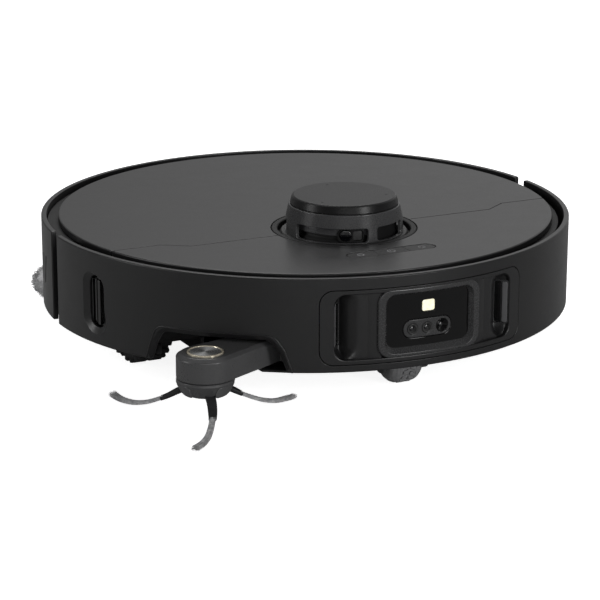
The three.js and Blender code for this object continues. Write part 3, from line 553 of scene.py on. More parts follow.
def fill(loops, grid):
    """Triangulates the region between loops. grid = (du, dv) adds inner points."""
    points = np.concatenate(loops)
    sides, start = [], 0
    for loop in loops:
        count = len(loop)
        sides += [(start + i, start + (i + 1) % count) for i in range(count)]
        start += count
    if grid:
        du, dv = grid
        low, high = points.min(0), points.max(0)
        columns = np.arange(math.ceil(low[0] / du) * du, high[0], du)
        rows = np.arange(math.ceil(low[1] / dv) * dv, high[1], dv)
        inner = np.array([(u, v) for u in columns for v in rows]).reshape(-1, 2)
        inner = inner[inside(loops, inner)]
        keep = np.ones(len(inner), bool)
        clearance = (0.3 * min(du, dv)) ** 2
        for i in range(0, len(inner), 256):
            gaps = ((inner[i : i + 256, None, :] - points[None]) ** 2).sum(2).min(1)
            keep[i : i + 256] = gaps > clearance
        points = np.concatenate([points, inner[keep]])
    cut = delaunay_2d_cdt([Vector(point) for point in points], sides, [], 0, 1e-9, True)
    placed = np.array([tuple(point) for point in cut[0]])
    ids = np.array([sources[0] if sources else -1 for sources in cut[3]])
    same = {i: sources[0] for sources in cut[3] for i in sources}  # points that coincide
    corners = np.array(cut[2], int)
    first, second, third = (placed[corners[:, i]] for i in range(3))
    to_second, to_third = second - first, third - first
    if float(np.sum(to_second[:, 0] * to_third[:, 1] - to_second[:, 1] * to_third[:, 0])) < 0:
        corners = corners[:, ::-1]
    triangles = [tuple(int(i) for i in tri) for tri in ids[corners] if tri.min() >= 0]
    borders = {(same[i], same[j]) for i, j in sides if same[i] != same[j]}
    owner = {}
    for n, (i, j, k) in enumerate(triangles):
        owner[(i, j)] = owner[(j, k)] = owner[(k, i)] = n
    # the material lies to the left of every loop, so grow inwards from there
    pending = [owner[side] for side in borders if side in owner]
    kept = set(pending)
    while pending:
        i, j, k = triangles[pending.pop()]
        for side in ((i, j), (j, k), (k, i)):
            back = (side[1], side[0])
            if side in borders or back in borders or back not in owner or owner[back] in kept:
                continue
            kept.add(owner[back])
            pending.append(owner[back])
    return points, [triangles[n] for n in sorted(kept)]


def settle(loop, moved):
    """Gathers the points of an offset loop that overshot in a tight corner at that corner."""
    count = len(loop)
    sides = np.roll(loop, -1, 0) - loop
    for _ in range(6):
        bad = (sides * (np.roll(moved, -1, 0) - moved)).sum(1) < -1e-12
        if not bad.any() or bad.all():
            break
        sound = int(np.argmin(bad))
        i = 0
        moved = moved.copy()
        while i < count:
            first = (sound + i) % count
            if not bad[first]:
                i += 1
                continue
            run = 1
            while bad[(first + run) % count]:
                run += 1
            before, after = (first - 1) % count, (first + run) % count  # sound sides
            origin, way = moved[before], sides[before] / np.linalg.norm(sides[before])
            target, way2 = moved[(after + 1) % count], sides[after] / np.linalg.norm(sides[after])
            cross = way[0] * way2[1] - way[1] * way2[0]
            if abs(cross) > 1e-6:
                gap = target - origin
                corner = origin + way * ((gap[0] * way2[1] - gap[1] * way2[0]) / cross)
            else:
                corner = (moved[first] + moved[after]) / 2
            for k in range(run + 1):
                moved[(first + k) % count] = corner
            i += run
    return moved


def weld(verts, faces, normals):
    """Joins coincident points and drops faces that vanish."""
    keys = np.round(verts * 20000).astype(np.int64)
    _, first, joined = np.unique(keys, axis=0, return_index=True, return_inverse=True)
    joined = joined.ravel()
    if len(first) == len(verts):
        return verts, faces, normals
    summed = np.zeros((len(first), 3))
    np.add.at(summed, joined, normals)
    kept = []
    for face in faces:
        face = [int(joined[i]) for i in face]
        face = [corner for i, corner in enumerate(face) if corner != face[i - 1]]
        if len(set(face)) > 2 and len(set(face)) == len(face):
            kept.append(tuple(face))
    return verts[first], kept, summed


def plate(outline, thickness, rim, surface, holes=(), hole_rim=None, grid=None, step=None,
          blend=None, hole_blends=None):
    """A closed plate laid on a surface.

    rim holds the arguments of edge after the thickness. hole_rim is one for all holes, or a
    list; without it holes share the outline's. A blend (rim, weight) moves an edge towards
    another rim, by a weight from 0 to 1 worked out from the loop's points. step limits the
    spacing of edge points, and grid is the pitch of the points between."""
    loops = [wound(outline, 1)] + [wound(hole, -1) for hole in holes]
    if step:
        loops = [resample(loop, step) for loop in loops]
    hole_rims = hole_rim if isinstance(hole_rim, list) else [hole_rim or rim] * len(holes)
    blends = [blend] + (hole_blends or [None] * len(holes))
    verts, normals, faces = [], [], []
    caps = ([], [])  # (points, indices) of the loops that bound the front and the back
    start = 0
    for loop, loop_rim, loop_blend in zip(loops, [rim] + hole_rims, blends):
        count = len(loop)
        section = edge(thickness, *loop_rim)
        rows = section[:, :, None] * np.ones(count)
        if loop_blend:
            rim2, weight = loop_blend
            rows = rows + (edge(thickness, *rim2) - section)[:, :, None] * weight(loop)
        ahead = np.roll(loop, -1, 0) - loop
        ahead /= np.linalg.norm(ahead, axis=1)[:, None]
        inward = np.column_stack([-ahead[:, 1], ahead[:, 0]])
        previous = np.roll(inward, 1, 0)
        both = inward + previous
        mitre = both / np.maximum(1 + (inward * previous).sum(1), 0.35)[:, None]
        unit = both / np.linalg.norm(both, axis=1)[:, None]
        for k, (offset, depth, lean, fall) in enumerate(rows):
            flat = settle(loop, loop + mitre * offset[:, None])
            laid, facing = surface(flat, depth, lean[:, None] * unit, fall)
            verts.append(laid)
            normals.append(facing)
            if k in (0, len(rows) - 1):
                caps[k > 0].append((flat, np.arange(start, start + count)))
            if k:
                above = start - count
                for j in range(count):
                    j2 = (j + 1) % count
                    faces.append((above + j, above + j2, start + j2, start + j))
            start += count
    for back, cap in enumerate(caps):
        ids = np.concatenate([ring for _, ring in cap])
        points, triangles = fill([flat for flat, _ in cap], grid)
        inner = points[len(ids) :]
        count = len(inner)
        ids = np.concatenate([ids, np.arange(start, start + count)])
        laid, facing = surface(inner, np.full(count, thickness * back), np.zeros((count, 2)),
                               np.full(count, 1.0 if back else -1.0))
        verts.append(laid)
        normals.append(facing)
        start += count
        order = -1 if back else 1
        faces += [tuple(int(ids[i]) for i in tri[::order]) for tri in triangles]
    return weld(np.concatenate(verts), faces, np.concatenate(normals))


# ---------------------------------------------------------------- surfaces to lay plates on
# Each takes (u, v) points, their depth, and a normal as its (u, v) part and its depth part.
def on_body(radius=BODY_R, x=0.0, y=0.0, profile=None):
    """An upright cylinder: u is arc length from the front, v height.

    profile(v), if given, is the radius at height v."""

    def lay(flat, depth, lean, fall):
        sine, cosine = np.sin(flat[:, 0] / radius), np.cos(flat[:, 0] / radius)
        height = flat[:, 1]
        reach = (profile(height) if profile else radius) - depth
        points = np.column_stack([x + reach * sine, y - reach * cosine, height])
        normals = np.column_stack([lean[:, 0] * cosine - fall * sine,
                                   lean[:, 0] * sine + fall * cosine, lean[:, 1]])
        return points, normals

    return lay


def on_axle(radius, y, z):
    """A cylinder along x: u is x, v arc length round the axle."""

    def lay(flat, depth, lean, fall):
        sine, cosine = np.sin(flat[:, 1] / radius), np.cos(flat[:, 1] / radius)
        reach = radius - depth
        points = np.column_stack([flat[:, 0], y + reach * cosine, z + reach * sine])
        normals = np.column_stack([lean[:, 0], -lean[:, 1] * sine - fall * cosine,
                                   lean[:, 1] * cosine - fall * sine])
        return points, normals

    return lay


def on_plane(origin, u_axis, v_axis):
    """A plane; depth runs against u_axis x v_axis."""
    origin, u_axis, v_axis = (np.array(v, float) for v in (origin, u_axis, v_axis))
    out = np.cross(u_axis, v_axis)

    def lay(flat, depth, lean, fall):
        def place(pair, inwards):
            return (np.outer(pair[:, 0], u_axis) + np.outer(pair[:, 1], v_axis)
                    - np.outer(inwards, out))

        return origin + place(flat, depth), place(lean, fall)

    return lay


def facing_up(z, x=0.0, y=0.0):
    return on_plane((x, y, z), (1, 0, 0), (0, 1, 0))


def facing_down(z, x=0.0, y=0.0):
    """u is x, v is -y."""
    return on_plane((x, y, z), (1, 0, 0), (0, -1, 0))


def facing_out(angle, radius):
    """An upright plane at an angle from the front."""
    cosine, sine = cos(rad(angle)), sin(rad(angle))
    return on_plane((radius * sine, -radius * cosine, 0), (cosine, sine, 0), (0, 0, 1))


# ================================================================ turned and swept meshes
def lathe(profile, radii=0.3, segments=128, centre=(0, 0), axis="z"):
    """Turned solid from a clockwise profile of (radius, height).

    The profile touches the axis at both ends, or is a closed ring."""
    on_axis = abs(profile[0][0]) < 1e-6 and abs(profile[-1][0]) < 1e-6
    points, slopes = fillet(profile, radii, closed=not on_axis)
    turn = np.arange(segments) * 2 * pi / segments
    cosine, sine = np.cos(turn), np.sin(turn)
    rows, verts, normals, faces, count = [], [], [], [], 0
    for (radius, height), (out, up) in zip(points, slopes):
        if radius < 1e-6:
            rows.append([count] * segments)
            verts.append([[0, 0, height]])
            normals.append([[0, 0, 1.0 if up > 0 else -1.0]])
            count += 1
        else:
            rows.append(list(range(count, count + segments)))
            verts.append(np.column_stack([radius * cosine, radius * sine,
                                          np.full(segments, height)]))
            normals.append(np.column_stack([out * cosine, out * sine, np.full(segments, up)]))
            count += segments
    pairs = list(zip(rows, rows[1:]))
    if not on_axis:
        pairs.append((rows[-1], rows[0]))
    for row, below in pairs:
        for k in range(segments):
            k2 = (k + 1) % segments
            face = tuple(dict.fromkeys([row[k], row[k2], below[k2], below[k]]))
            if len(face) > 2:
                faces.append(face)
    verts, normals = np.concatenate(verts), np.concatenate(normals)
    if axis == "x":  # height runs along x, and centre is (y, z)
        verts = verts[:, [2, 0, 1]] + (0.0, *centre)
        return verts, faces, normals[:, [2, 0, 1]]
    return verts + (*centre, 0.0), faces, normals


def frames(path, up=(0, 0, 1)):
    """Unit vectors across a path and above it, at each point."""
    ahead = np.gradient(path, axis=0)
    ahead /= np.linalg.norm(ahead, axis=1)[:, None]
    across = np.cross(ahead, up)
    across /= np.linalg.norm(across, axis=1)[:, None]
    return across, np.cross(across, ahead)


def sweep_faces(rings, sides, first_cap=-1):
    """Walls and two caps over rings of vertices; first_cap is the winding of the first."""
    faces = []
    for i in range(rings - 1):
        for k in range(sides):
            here, beside = i * sides + k, i * sides + (k + 1) % sides
            faces.append((here, beside, beside + sides, here + sides))
    total = rings * sides
    faces.append(tuple(range(sides))[::first_cap])
    faces.append(tuple(range(total - sides, total))[::-first_cap])
    return faces


def tube(path, radius, sides, taper=1.0, up=(0, 0, 1)):
    """A rod along a path; taper is a factor on the radius, or a list of them."""
    across, above = frames(path, up)
    turn = (2 * pi * np.arange(sides) / sides)[:, None]
    normals = across[:, None] * np.cos(turn) + above[:, None] * np.sin(turn)
    size = radius * np.broadcast_to(taper, len(path))
    verts = path[:, None] + normals * size[:, None, None]
    return verts.reshape(-1, 3), sweep_faces(len(path), sides), normals.reshape(-1, 3)


def join(meshes):
    faces, start = [], 0
    for verts, mesh_faces, _ in meshes:
        faces += [tuple(i + start for i in face) for face in mesh_faces]
        start += len(verts)
    return (np.concatenate([mesh[0] for mesh in meshes]), faces,
            np.concatenate([mesh[2] for mesh in meshes]))


# ================================================================ objects
def link_object(name, mesh, material):
    mesh.polygons.foreach_set("use_smooth", [True] * len(mesh.polygons))
    ob = bpy.data.objects.new(name, mesh)
    bpy.context.scene.collection.objects.link(ob)
    mesh.materials.append(MATERIALS[material])
    return ob


def piece(name, mesh, material, body, replaced=None, smooth=None):
    """A mesh object riding on a CAD body, shaded by its own normals or by an angle."""
    verts, faces, normals = mesh
    data = bpy.data.meshes.new(name)
    data.from_pydata([tuple(v) for v in (verts + (0, AXIS_Y, 0)) / 1000.0], [], faces)
    data.validate()
    bm = bmesh.new()
    bm.from_mesh(data)
    bmesh.ops.recalc_face_normals(bm, faces=bm.faces)
    bm.to_mesh(data)
    bm.free()
    ob = link_object(name, data, material)
    if smooth is None:
        normals = normals / np.maximum(np.linalg.norm(normals, axis=1), 1e-9)[:, None]
        data.normals_split_custom_set_from_vertices([tuple(n) for n in normals])
    else:
        data.set_sharp_from_angle(angle=rad(smooth))
    data.update()
    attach(ob, body)
    if replaced:
        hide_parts(replaced)
    return ob


def refine(node, material, bevel, segments=3, angle=32):
    """A finer stand-in for a CAD node: its own solid with welded and rounded edges."""
    source = frame["nodes"][node]
    bm = bmesh.new()
    bm.from_mesh(source.data)
    bmesh.ops.remove_doubles(bm, verts=bm.verts, dist=1e-6)
    bmesh.ops.dissolve_limit(bm, angle_limit=rad(0.6), verts=bm.verts, edges=bm.edges)
    bmesh.ops.recalc_face_normals(bm, faces=bm.faces)
    data = bpy.data.meshes.new(node + "_fine")
    bm.to_mesh(data)
    bm.free()
    ob = link_object(node + "_fine", data, material)
    rounding = ob.modifiers.new("round", "BEVEL")
    rounding.width = bevel / 1000
    rounding.segments = segments
    rounding.limit_method = "ANGLE"
    rounding.angle_limit = rad(angle)
    rounding.harden_normals = True
    rounding.use_clamp_overlap = True
    rounding.miter_outer = "MITER_ARC"
    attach(ob, source["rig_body"])
    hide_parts(node)
    return ob


# ================================================================ bumper
SKIN_RIM = (0.45, 0.5, 0.55, 0.55)  # edge of the bumper and the rear shell
PANEL_BOX = (-71.5, 72.0, 27.2, 74.4)  # opening for the front sensors
SIDE_SLOT = (-77.2, -71.8, 33.5, 67.0)  # opening on the right flank: angles, then heights
# Cut-out for the side brush in the lower edge: angle, height.
CUTOUT = [(-58.9, WALL_Z), (-57.6, 34.0), (-56.0, 42.0), (-33.4, 43.0), (-31.4, 36.0),
          (-29.7, WALL_Z)]
# Bead that follows it: angle, distance further along the wall, height.
BEAD = [(-58.9, -3.3, 23.0), (-57.6, -3.5, 34.4), (-56.2, -3.4, 45.2), (-33.2, 2.6, 46.3),
        (-31.4, 3.6, 37.0), (-29.7, 3.3, 23.0)]
BEAD_R = 175.05  # distance of its centre line from the body's axis


def along(angle):
    """Arc length on the body's wall at an angle from the front."""
    return rad(angle) * BODY_R


def bumper_skin():
    start, end = along(-BUMPER_ANGLE), along(BUMPER_ANGLE)
    cutout = [(along(angle), z) for angle, z in CUTOUT]
    outline, _ = fillet(
        [(start, WALL_Z), *cutout, (end, WALL_Z), (end, RIM_Z), (start, RIM_Z)],
        [1.0, 1.0, 4.0, 7.0, 8.0, 5.0, 1.0, 1.0, 1.0, 1.0], True, 9.0)

    def round_cutout(loop):
        u, v = loop[:, 0], loop[:, 1]
        near = (u > along(-60.2)) & (u < along(-28.4)) & (v < 46)
        return near * np.clip((v - WALL_Z - 0.2) / 2.6, 0, 1)

    def lean(loop):
        """The slot's rearward and lower sides lean in broadly, the others are crisp."""
        rearward = ((along(-77.2) + along(-71.8)) / 2 - loop[:, 0]) / 8.2
        low = (50.2 - loop[:, 1]) / 16.7
        return np.clip(np.maximum(rearward * 0.9, low - 0.25), 0.0, 0.85)

    return plate(outline, WALL, SKIN_RIM, on_body(),
                 [rounded(*PANEL_BOX, 9.0, 8), rounded_arc(BODY_R, *SIDE_SLOT, 7.6, 8)],
                 hole_rim=[(0.35, 0.2), (0.3, 0.3, 0.9, 0.8)], grid=(4.6, 7.0), step=2.4,
                 blend=((0.5, 0.3, 2.7, 1.7), round_cutout),
                 hole_blends=[None, ((0.3, 0.3, 5.4, 2.4), lean)])


def cutout_bead():
    corners = [(along(angle) + shift, z) for angle, shift, z in BEAD]
    path = fillet(corners, [0, 2.0, 7.5, 9.0, 5.0, 0], False, 6)[0]
    fine = []
    for start, end in zip(path[:-1], path[1:]):
        pieces = max(1, int(np.hypot(*(end - start)) / 2.0))
        fine += [start + (end - start) * i / pieces for i in range(pieces)]
    length, height = np.array(fine + [path[-1]]).T
    angle = length / BODY_R
    line = np.column_stack([BEAD_R * np.sin(angle), -BEAD_R * np.cos(angle), height])
    return tube(line, 0.5, 10, up=(0.41, 0.91, 0))


def side_window():
    """The dark window behind the side slot, with upright ribs."""
    radius = 170.4
    parts = [plate(rounded_arc(BODY_R, -78.6, -70.6, 31.5, 68.8, 8.0, 8), 3.0, (0.4, 0.3),
                   on_body(radius), grid=(3, 6), step=2.0)]
    # angle, half width, height above the window
    for angle, half, rise in ((-75.6, 1.1, 1.5), (-74.2, 0.8, 1.0), (-73.2, 1.3, 2.0)):
        box = rounded(along(angle) - half, along(angle) + half, 35.0, 64.0,
                      min(half, 1.0) * 0.9, 15)
        parts.append(plate(box, 3.0, (0.3, 0.2), on_body(radius + rise), step=2.0))
    return join(parts)


piece("bumper_skin", bumper_skin(), "bumper", "bumper", "bumper_shell")
piece("cut_out_bead", cutout_bead(), "insert", "bumper")
piece("side_sensor_window", side_window(), "window", "bumper",
      "edge_sensor_window")

# ================================================================ front sensor module
PANEL_GAP = 0.35  # joint between the panel and the bumper
# Liner of a side pocket, seen from above on the left: x, y.
POCKET_PATH = [(32.5, -172.6), (35.6, -172.0), (40.4, -169.9), (45.6, -166.6), (50.0, -162.5),
               (52.8, -158.4), (53.8, -155.8), (54.8, -155.8), (61.2, -162.2), (62.4, -163.0),
               (63.4, -163.6)]
POCKET_LOW, POCKET_HIGH = 29.5, 72.5
# Its wall curls forward at the floor and the roof: z, distance forward.
POCKET_CURL = [
    (POCKET_LOW, 12.0), (POCKET_LOW + 0.8, 8.6), (POCKET_LOW + 1.8, 5.2), (POCKET_LOW + 3.2, 2.6),
    (POCKET_LOW + 5.0, 0.9), (POCKET_LOW + 7.5, 0.1), (POCKET_LOW + 12, 0.0), (50, 0.0),
    (POCKET_HIGH - 9, 0.0), (POCKET_HIGH - 6, 0.1), (POCKET_HIGH - 4, 0.8),
    (POCKET_HIGH - 2.4, 2.4), (POCKET_HIGH - 1.2, 5.0), (POCKET_HIGH, 10.0),
]
LENS_Z = 46.1
LENS_SEAT = 171.1  # distance of the lenses from the body's axis
# Camera lenses: name, distance along the wall, outer radius of the barrel.
LENSES = (("camera_lens_right", -11.6, 3.3), ("camera_lens_middle", -1.8, 3.3),
          ("camera_lens_left", 8.9, 4.1))


def sensor_panel():
    return plate(rounded(*inset(PANEL_BOX, PANEL_GAP), 8.7, 8), 3.2, (0.3, 0.2), on_body(),
                 [rounded(-62.2, 62.4, 30.5, 71.3, 7.0, 8)], (0.75, 0.2), (4.6, 5.0), 2.4)


def camera_bezel():
    """Raised frame round the camera window; its inner side leans back to the glass."""

    def low(loop):
        return np.clip((42.0 - loop[:, 1]) / 6.0, 0, 1)

    return plate(rounded(-35.6, 35.2, 30.2, 72.9, 8.5, 8), 10.0, (0.98, 0.2), on_body(175.35),
                 [rounded(-29.2, 28.9, 35.4, 68.4, 5.4, 8)], [(0.45, 0.2, 1.7, 3.3)],
                 (4.6, 5.0), 2.2, hole_blends=[((0.45, 0.2, 3.2, 3.4), low)])


def pocket(mirror):
    """Liner of one side pocket, sweeping back from the camera frame to a window seat."""
    path = np.array(POCKET_PATH)
    for _ in range(2):  # cut the corners to smooth the path
        cut = [path[0]]
        for start, end in zip(path[:-1], path[1:]):
            cut += [start * 0.75 + end * 0.25, start * 0.25 + end * 0.75]
        path = np.array(cut + [path[-1]])
    count, rows = len(path), len(POCKET_CURL)
    x = path[:, 0]
    front, rear = [], []
    for z, forward in POCKET_CURL:
        y = path[:, 1] - forward
        pull = np.minimum(1.0, 172.4 / np.hypot(x, y))  # stay behind the bumper's face
        height = np.full(count, z)
        front.append(np.column_stack([mirror * x * pull, y * pull, height]))
        rear_y = np.maximum(path[:, 1] + 2.2, -171.0)
        rear.append(np.column_stack([mirror * x, rear_y, height]))
    faces = []
    back = rows * count
    for i in range(rows - 1):
        for j in range(count - 1):
            k = i * count + j
            faces.append((k, k + 1, k + count + 1, k + count))
            k += back
            faces.append((k + count, k + count + 1, k + 1, k))
    for j in range(count - 1):
        faces.append((j, back + j, back + j + 1, j + 1))
        k = (rows - 1) * count + j
        faces.append((k, k + 1, back + k + 1, back + k))
    for i in range(rows - 1):
        k = i * count
        faces.append((k, k + count, back + k + count, back + k))
        k += count - 1
        faces.append((k, back + k, back + k + count, k + count))
    return np.concatenate(front + rear), faces, None


def laser_window(side, mirror):
    """Window turned inwards: inner half black, outer half grey, in a raised frame."""
    turn = rad(mirror * -45.5)
    across = (cos(turn), sin(turn), 0)
    out = np.array([sin(turn), -cos(turn), 0.0])
    seat = np.array([mirror * 57.9, -158.9, 51.3])

    def surface(rise):
        return on_plane(seat + out * rise, across, (0, 0, 1))

    surround = plate(rounded(-5.0, 5.0, -14.2, 14.2, 2.4, 10), 2.4, (0.3, 0.2), surface(0.9),
                     [rounded(-4.4, 4.4, -13.4, 13.4, 1.9, 10)], (0.2, 0.2), step=2)
    piece("laser_frame_" + side, surround, "bezel", "bumper")
    inner_half = sorted((-4.3 * mirror, 0.3 * mirror))
    outer_half = sorted((0.4 * mirror, 4.3 * mirror))
    dark = plate(rounded(*inner_half, -13.3, 13.3, 0.8, 15), 1.8, (0.3, 0.2), surface(0.5),
                 step=2)
    pale = plate(rounded(*outer_half, -13.3, 13.3, 1.5, 15), 1.8, (0.7, 0.2), surface(0.8),
                 step=2)
    piece("laser_window_glass_" + side, dark, "window", "bumper",
          "laser_window_" + side)
    piece("laser_window_cover_" + side, pale, "shade", "bumper")


def camera_window():
    """Glass with openings for the lamp and for the strip of lenses."""
    return plate(rounded(-30.1, 29.8, 34.5, 69.3, 5.8, 8), 3.0, (0.3, 0.2), on_body(171.8),
                 [rounded(-5.25, 3.75, 56.3, 63.6, 1.6, 15),
                  rounded(-17.9, 15.3, 40.3, 52.0, 5.8, 10)],
                 [(0.3, 0.1), (0.5, 0.1)], (4, 4), 2.0)


def lens_strip():
    return plate(rounded(-17.7, 15.1, 40.5, 51.8, 5.6, 10), 2.6, (0.4, 0.1), on_body(172.0),
                 [circle(x, LENS_Z, radius + 0.2, 48) for _, x, radius in LENSES],
                 (0.35, 0.1), (3, 3), 1.2)


def lens_lathe(profile, length, radii):
    """Turned about the outward direction; profile = (radius, distance out from the seat)."""
    verts, faces, normals = lathe(profile, radii, 64)
    angle = length / 172.0
    out = np.array([sin(angle), -cos(angle), 0])
    axes = np.array([(cos(angle), sin(angle), 0), (0, 0, 1.0), out])
    return verts @ axes + out * LENS_SEAT + (0, 0, LENS_Z), faces, normals @ axes


def camera_lens(name, x, radius):
    small = radius < 4
    if small:
        barrel = [(radius - 0.9, 0.4), (radius - 0.9, 1.0), (radius - 0.75, 1.15),
                  (radius - 0.15, 1.15), (radius, 0.9), (radius, -1.6), (0.9, -1.6),
                  (0.9, -0.7), (1.5, -0.5), (radius - 1.2, 0.15)]
    else:
        barrel = [(radius - 0.25, 0.95), (radius, 0.7), (radius, -1.8), (1.0, -1.8),
                  (1.0, -1.35), (1.35, -1.2)]
    piece(name + "_barrel", lens_lathe(barrel, x, 0.15), "lens_ring" if small else "glass",
          "bumper")
    glass_r, base = (1.55, -0.35) if small else (1.5, -1.2)
    dome = [(0, base + 0.75), (glass_r * 0.45, base + 0.66), (glass_r * 0.8, base + 0.38),
            (glass_r, base), (glass_r, base - 0.8), (0, base - 0.8)]
    piece(name + "_glass", lens_lathe(dome, x, 0.3), "lens", "bumper", name)


piece("sensor_frame", sensor_panel(), "insert", "bumper", "sensor_housing")
piece("camera_bezel", camera_bezel(), "bezel", "bumper")
for side, mirror in SIDES:
    piece("sensor_pocket_" + side, pocket(mirror), "insert", "bumper", smooth=50)
    laser_window(side, mirror)
piece("camera_window", camera_window(), "glass", "bumper", "camera_glass")
piece("lens_strip", lens_strip(), "bezel", "bumper")
for lens in LENSES:
    camera_lens(*lens)
diffuser = plate(rounded(-5.05, 3.55, 56.5, 63.4, 1.3, 15), 2.4, (0.5, 0.1), on_body(171.6),
                 grid=(2, 2), step=1.5)
piece("lamp_diffuser", diffuser, "lamp", "bumper", "led_lamp")
# near-black sheet behind the camera window: painted shade
backing = plate(rounded(-31.0, 30.8, 33.8, 70.0, 6, 10), 1.6, (0.3, 0.2), on_body(168.4),
                grid=(5, 6), step=2.5)
piece("camera_backing", backing, "dark_and_painted_shade", "bumper")
# back tray of the module, closing the pockets from inside; near-black as painted shade in them
tray = plate(rounded(-64.0, 69.0, 29.6, 72.6, 4, 10), 1.6, (0.4, 0.3), on_body(160.4),
             grid=(5, 8), step=3)
piece("module_back", tray, "dark_and_painted_shade", "bumper")

# ================================================================ rear shell
CONTACTS = (("left", 171), ("right", 189))  # charging contacts: angle from the front
VENTS, VENT_ANGLE, VENT_PITCH = 8, 101, 3.1  # slanted slots on the right flank


def rear_skin():
    start, end = along(SHELL_ANGLE), along(360 - SHELL_ANGLE)
    outline = fillet([(start, WALL_Z), (end, WALL_Z), (end, RIM_Z), (start, RIM_Z)], 0.8)[0]
    holes = []
    for i in range(VENTS):
        u = along(360 - (VENT_ANGLE + i * VENT_PITCH))
        corners = [(u - 3.7, 42), (u - 1.5, 42), (u + 3.7, 61), (u + 1.5, 61)]
        holes.append(fillet(corners, 0.8, True, 20)[0])
    for _, angle in CONTACTS:
        holes.append(rounded(along(angle) - 9.4, along(angle) + 9.4, 28.6, 41.4, 2.2))
    return plate(outline, WALL, SKIN_RIM, on_body(), holes,
                 [(0.55, 0.2)] * VENTS + [(0.8, 0.2)] * 2, (4.6, 8.0), 2.4)


def charging_plate(angle):
    """A slotted contact with a plain plate behind the slot."""
    front = plate(rounded(-9.0, 9.0, 29.0, 41.0, 1.9, 10), 1.6, (0.6, 0.2),
                  facing_out(angle, 174.9), [rounded(-6.2, 6.2, 33.6, 36.4, 1.3)],
                  (0.4, 0.1), step=2)
    back = plate(rounded(-8.0, 8.0, 30.0, 40.0, 1.0, 15), 0.8, (0.1, 0.1),
                 facing_out(angle, 174.2), step=3)
    return join([front, back])


piece("rear_skin", rear_skin(), "shell", "chassis", "rear_shell")
for side, angle in CONTACTS:
    piece("charging_plate_" + side, charging_plate(angle), "contact", "chassis",
          "charging_contact_" + side)

# ================================================================ top covers and deck
COVER_R, COVER_T = 163.75, 4.1
NOTCH_R = 47.4  # opening of the covers round the turret
SEAM_X, STEP_X = 124, 108  # the seam runs straight in to SEAM_X, then slants forward to STEP_X
FRONT_SEAM = (-47.25, -58.05)  # y of the seam at the rim and at the turret
REAR_SEAM = (-46.75, -57.55)
COVER_RIM = (0.6, 0.4, 0.75, 0.45)


def seam_angles(rim_y, turret_y):
    """Angles, from +X, at which the seam meets the covers' rim and the turret's opening."""
    return (deg(math.asin(rim_y / COVER_R)),
            deg(math.asin((turret_y - TURRET[1]) / NOTCH_R)))


def off_rim(loop):
    """1 on the seam and round the turret, 0 on the outer rim."""
    return (np.hypot(loop[:, 0], loop[:, 1]) < COVER_R - 0.3).astype(float)


COVER_BLEND = ((0.2, 0.2, 0.22, 0.22), off_rim)


def front_cover():
    rim_y, turret_y = FRONT_SEAM
    rim, notch = seam_angles(*FRONT_SEAM)
    outline = [*arc(0, 0, COVER_R, 180 - rim, 360 + rim, 150),
               (SEAM_X, rim_y), (STEP_X, turret_y),
               *arc(*TURRET, NOTCH_R, notch, -180 - notch, 80),
               (-STEP_X, turret_y), (-SEAM_X, rim_y)]
    return plate(np.array(outline), COVER_T, COVER_RIM, facing_up(RIM_Z),
                 [rounded(-30.6, 30.6, -127.6, -116.0, 5.75, 9)], (0.25, 0.2, 0.35, 0.3),
                 (12, 12), 2.5, COVER_BLEND)


def rear_lid():
    rim_y, turret_y = REAR_SEAM
    rim, notch = seam_angles(*REAR_SEAM)
    outline = [*arc(0, 0, COVER_R, rim, 180 - rim, 220),
               (-SEAM_X, rim_y), (-STEP_X, turret_y),
               *arc(*TURRET, NOTCH_R, 180 - notch, notch, 90),
               (STEP_X, turret_y), (SEAM_X, rim_y)]
    return plate(np.array(outline), COVER_T, COVER_RIM, facing_up(RIM_Z), grid=(12, 12),
                 step=2.5, blend=COVER_BLEND)


def lid_ribs():
    """Four ribs and a finger tab under the rear lid."""
    parts = []
    for x in (-90, -30, 30, 90):
        end = math.sqrt(150**2 - x * x)
        parts.append(plate(rounded(x - 0.6, x + 0.6, end - 22, end, 0.5, 30), 0.32, (0.1, 0.1),
                           facing_up(77.72), step=20))
    parts.append(plate(rounded(-16, 16, 156.5, 162.6, 2.5), 0.9, (0.3, 0.3), facing_up(77.9),
                       step=4))
    return join(parts)


def deck():
    """Deck under the covers, wider where the rear shell surrounds it, and the turret's ring."""
    angles = np.arange(360)
    at_shell = (angles > SHELL_ANGLE) & (angles < 360 - SHELL_ANGLE)
    radius = np.where(at_shell, 171.2, 168.1)
    turn = np.radians(angles)
    outline = np.column_stack([radius * np.sin(turn), -radius * np.cos(turn)])
    holes = [circle(*TURRET, 36.6, 120), rounded(-72, 42, -8, 52, 6), circle(0, 105, 8, 48)]
    ring = [(43, 77.0), (43, 81.35), (43.7, 81.8), (46.4, 81.8), (47.0, 81.3), (47.0, 77.0)]
    return join([
        plate(outline, 4.0, (0.5, 0.3), facing_up(77.3), holes,
              [(0.3, 0.2), (0.8, 0.2), (0.6, 0.2)], (14, 14)),
        lathe(ring, [0, 0.3, 0.5, 0.5, 0.3, 0], 160, TURRET),
    ])


piece("front_cover_skin", front_cover(), "cover", "chassis", "front_cover")
piece("rear_lid_skin", rear_lid(), "cover", "rear_lid", "rear_lid")
piece("rear_lid_ribs", lid_ribs(), "inner", "rear_lid")
piece("deck_plate", deck(), "dark_and_painted_shade", "chassis", "top_deck")
SEAL_BOX = (-75, 45, -11, 55)
seal = plate(rounded(*SEAL_BOX, 8, 10), 0.34, (0.1, 0.1), facing_up(77.62),
             [rounded(*inset(SEAL_BOX, 1.8), 6.8, 10)], step=6)
piece("dust_bay_seal", seal, "belt", "chassis")
plug = lathe([(0, 77.55), (2.2, 77.55), (2.6, 77.05), (6.6, 77.05), (7.3, 76.6), (7.3, 72.4),
              (0, 72.4)], 0.3, 64, (0, 105))
piece("tank_filler_plug", plug, "brush", "chassis")

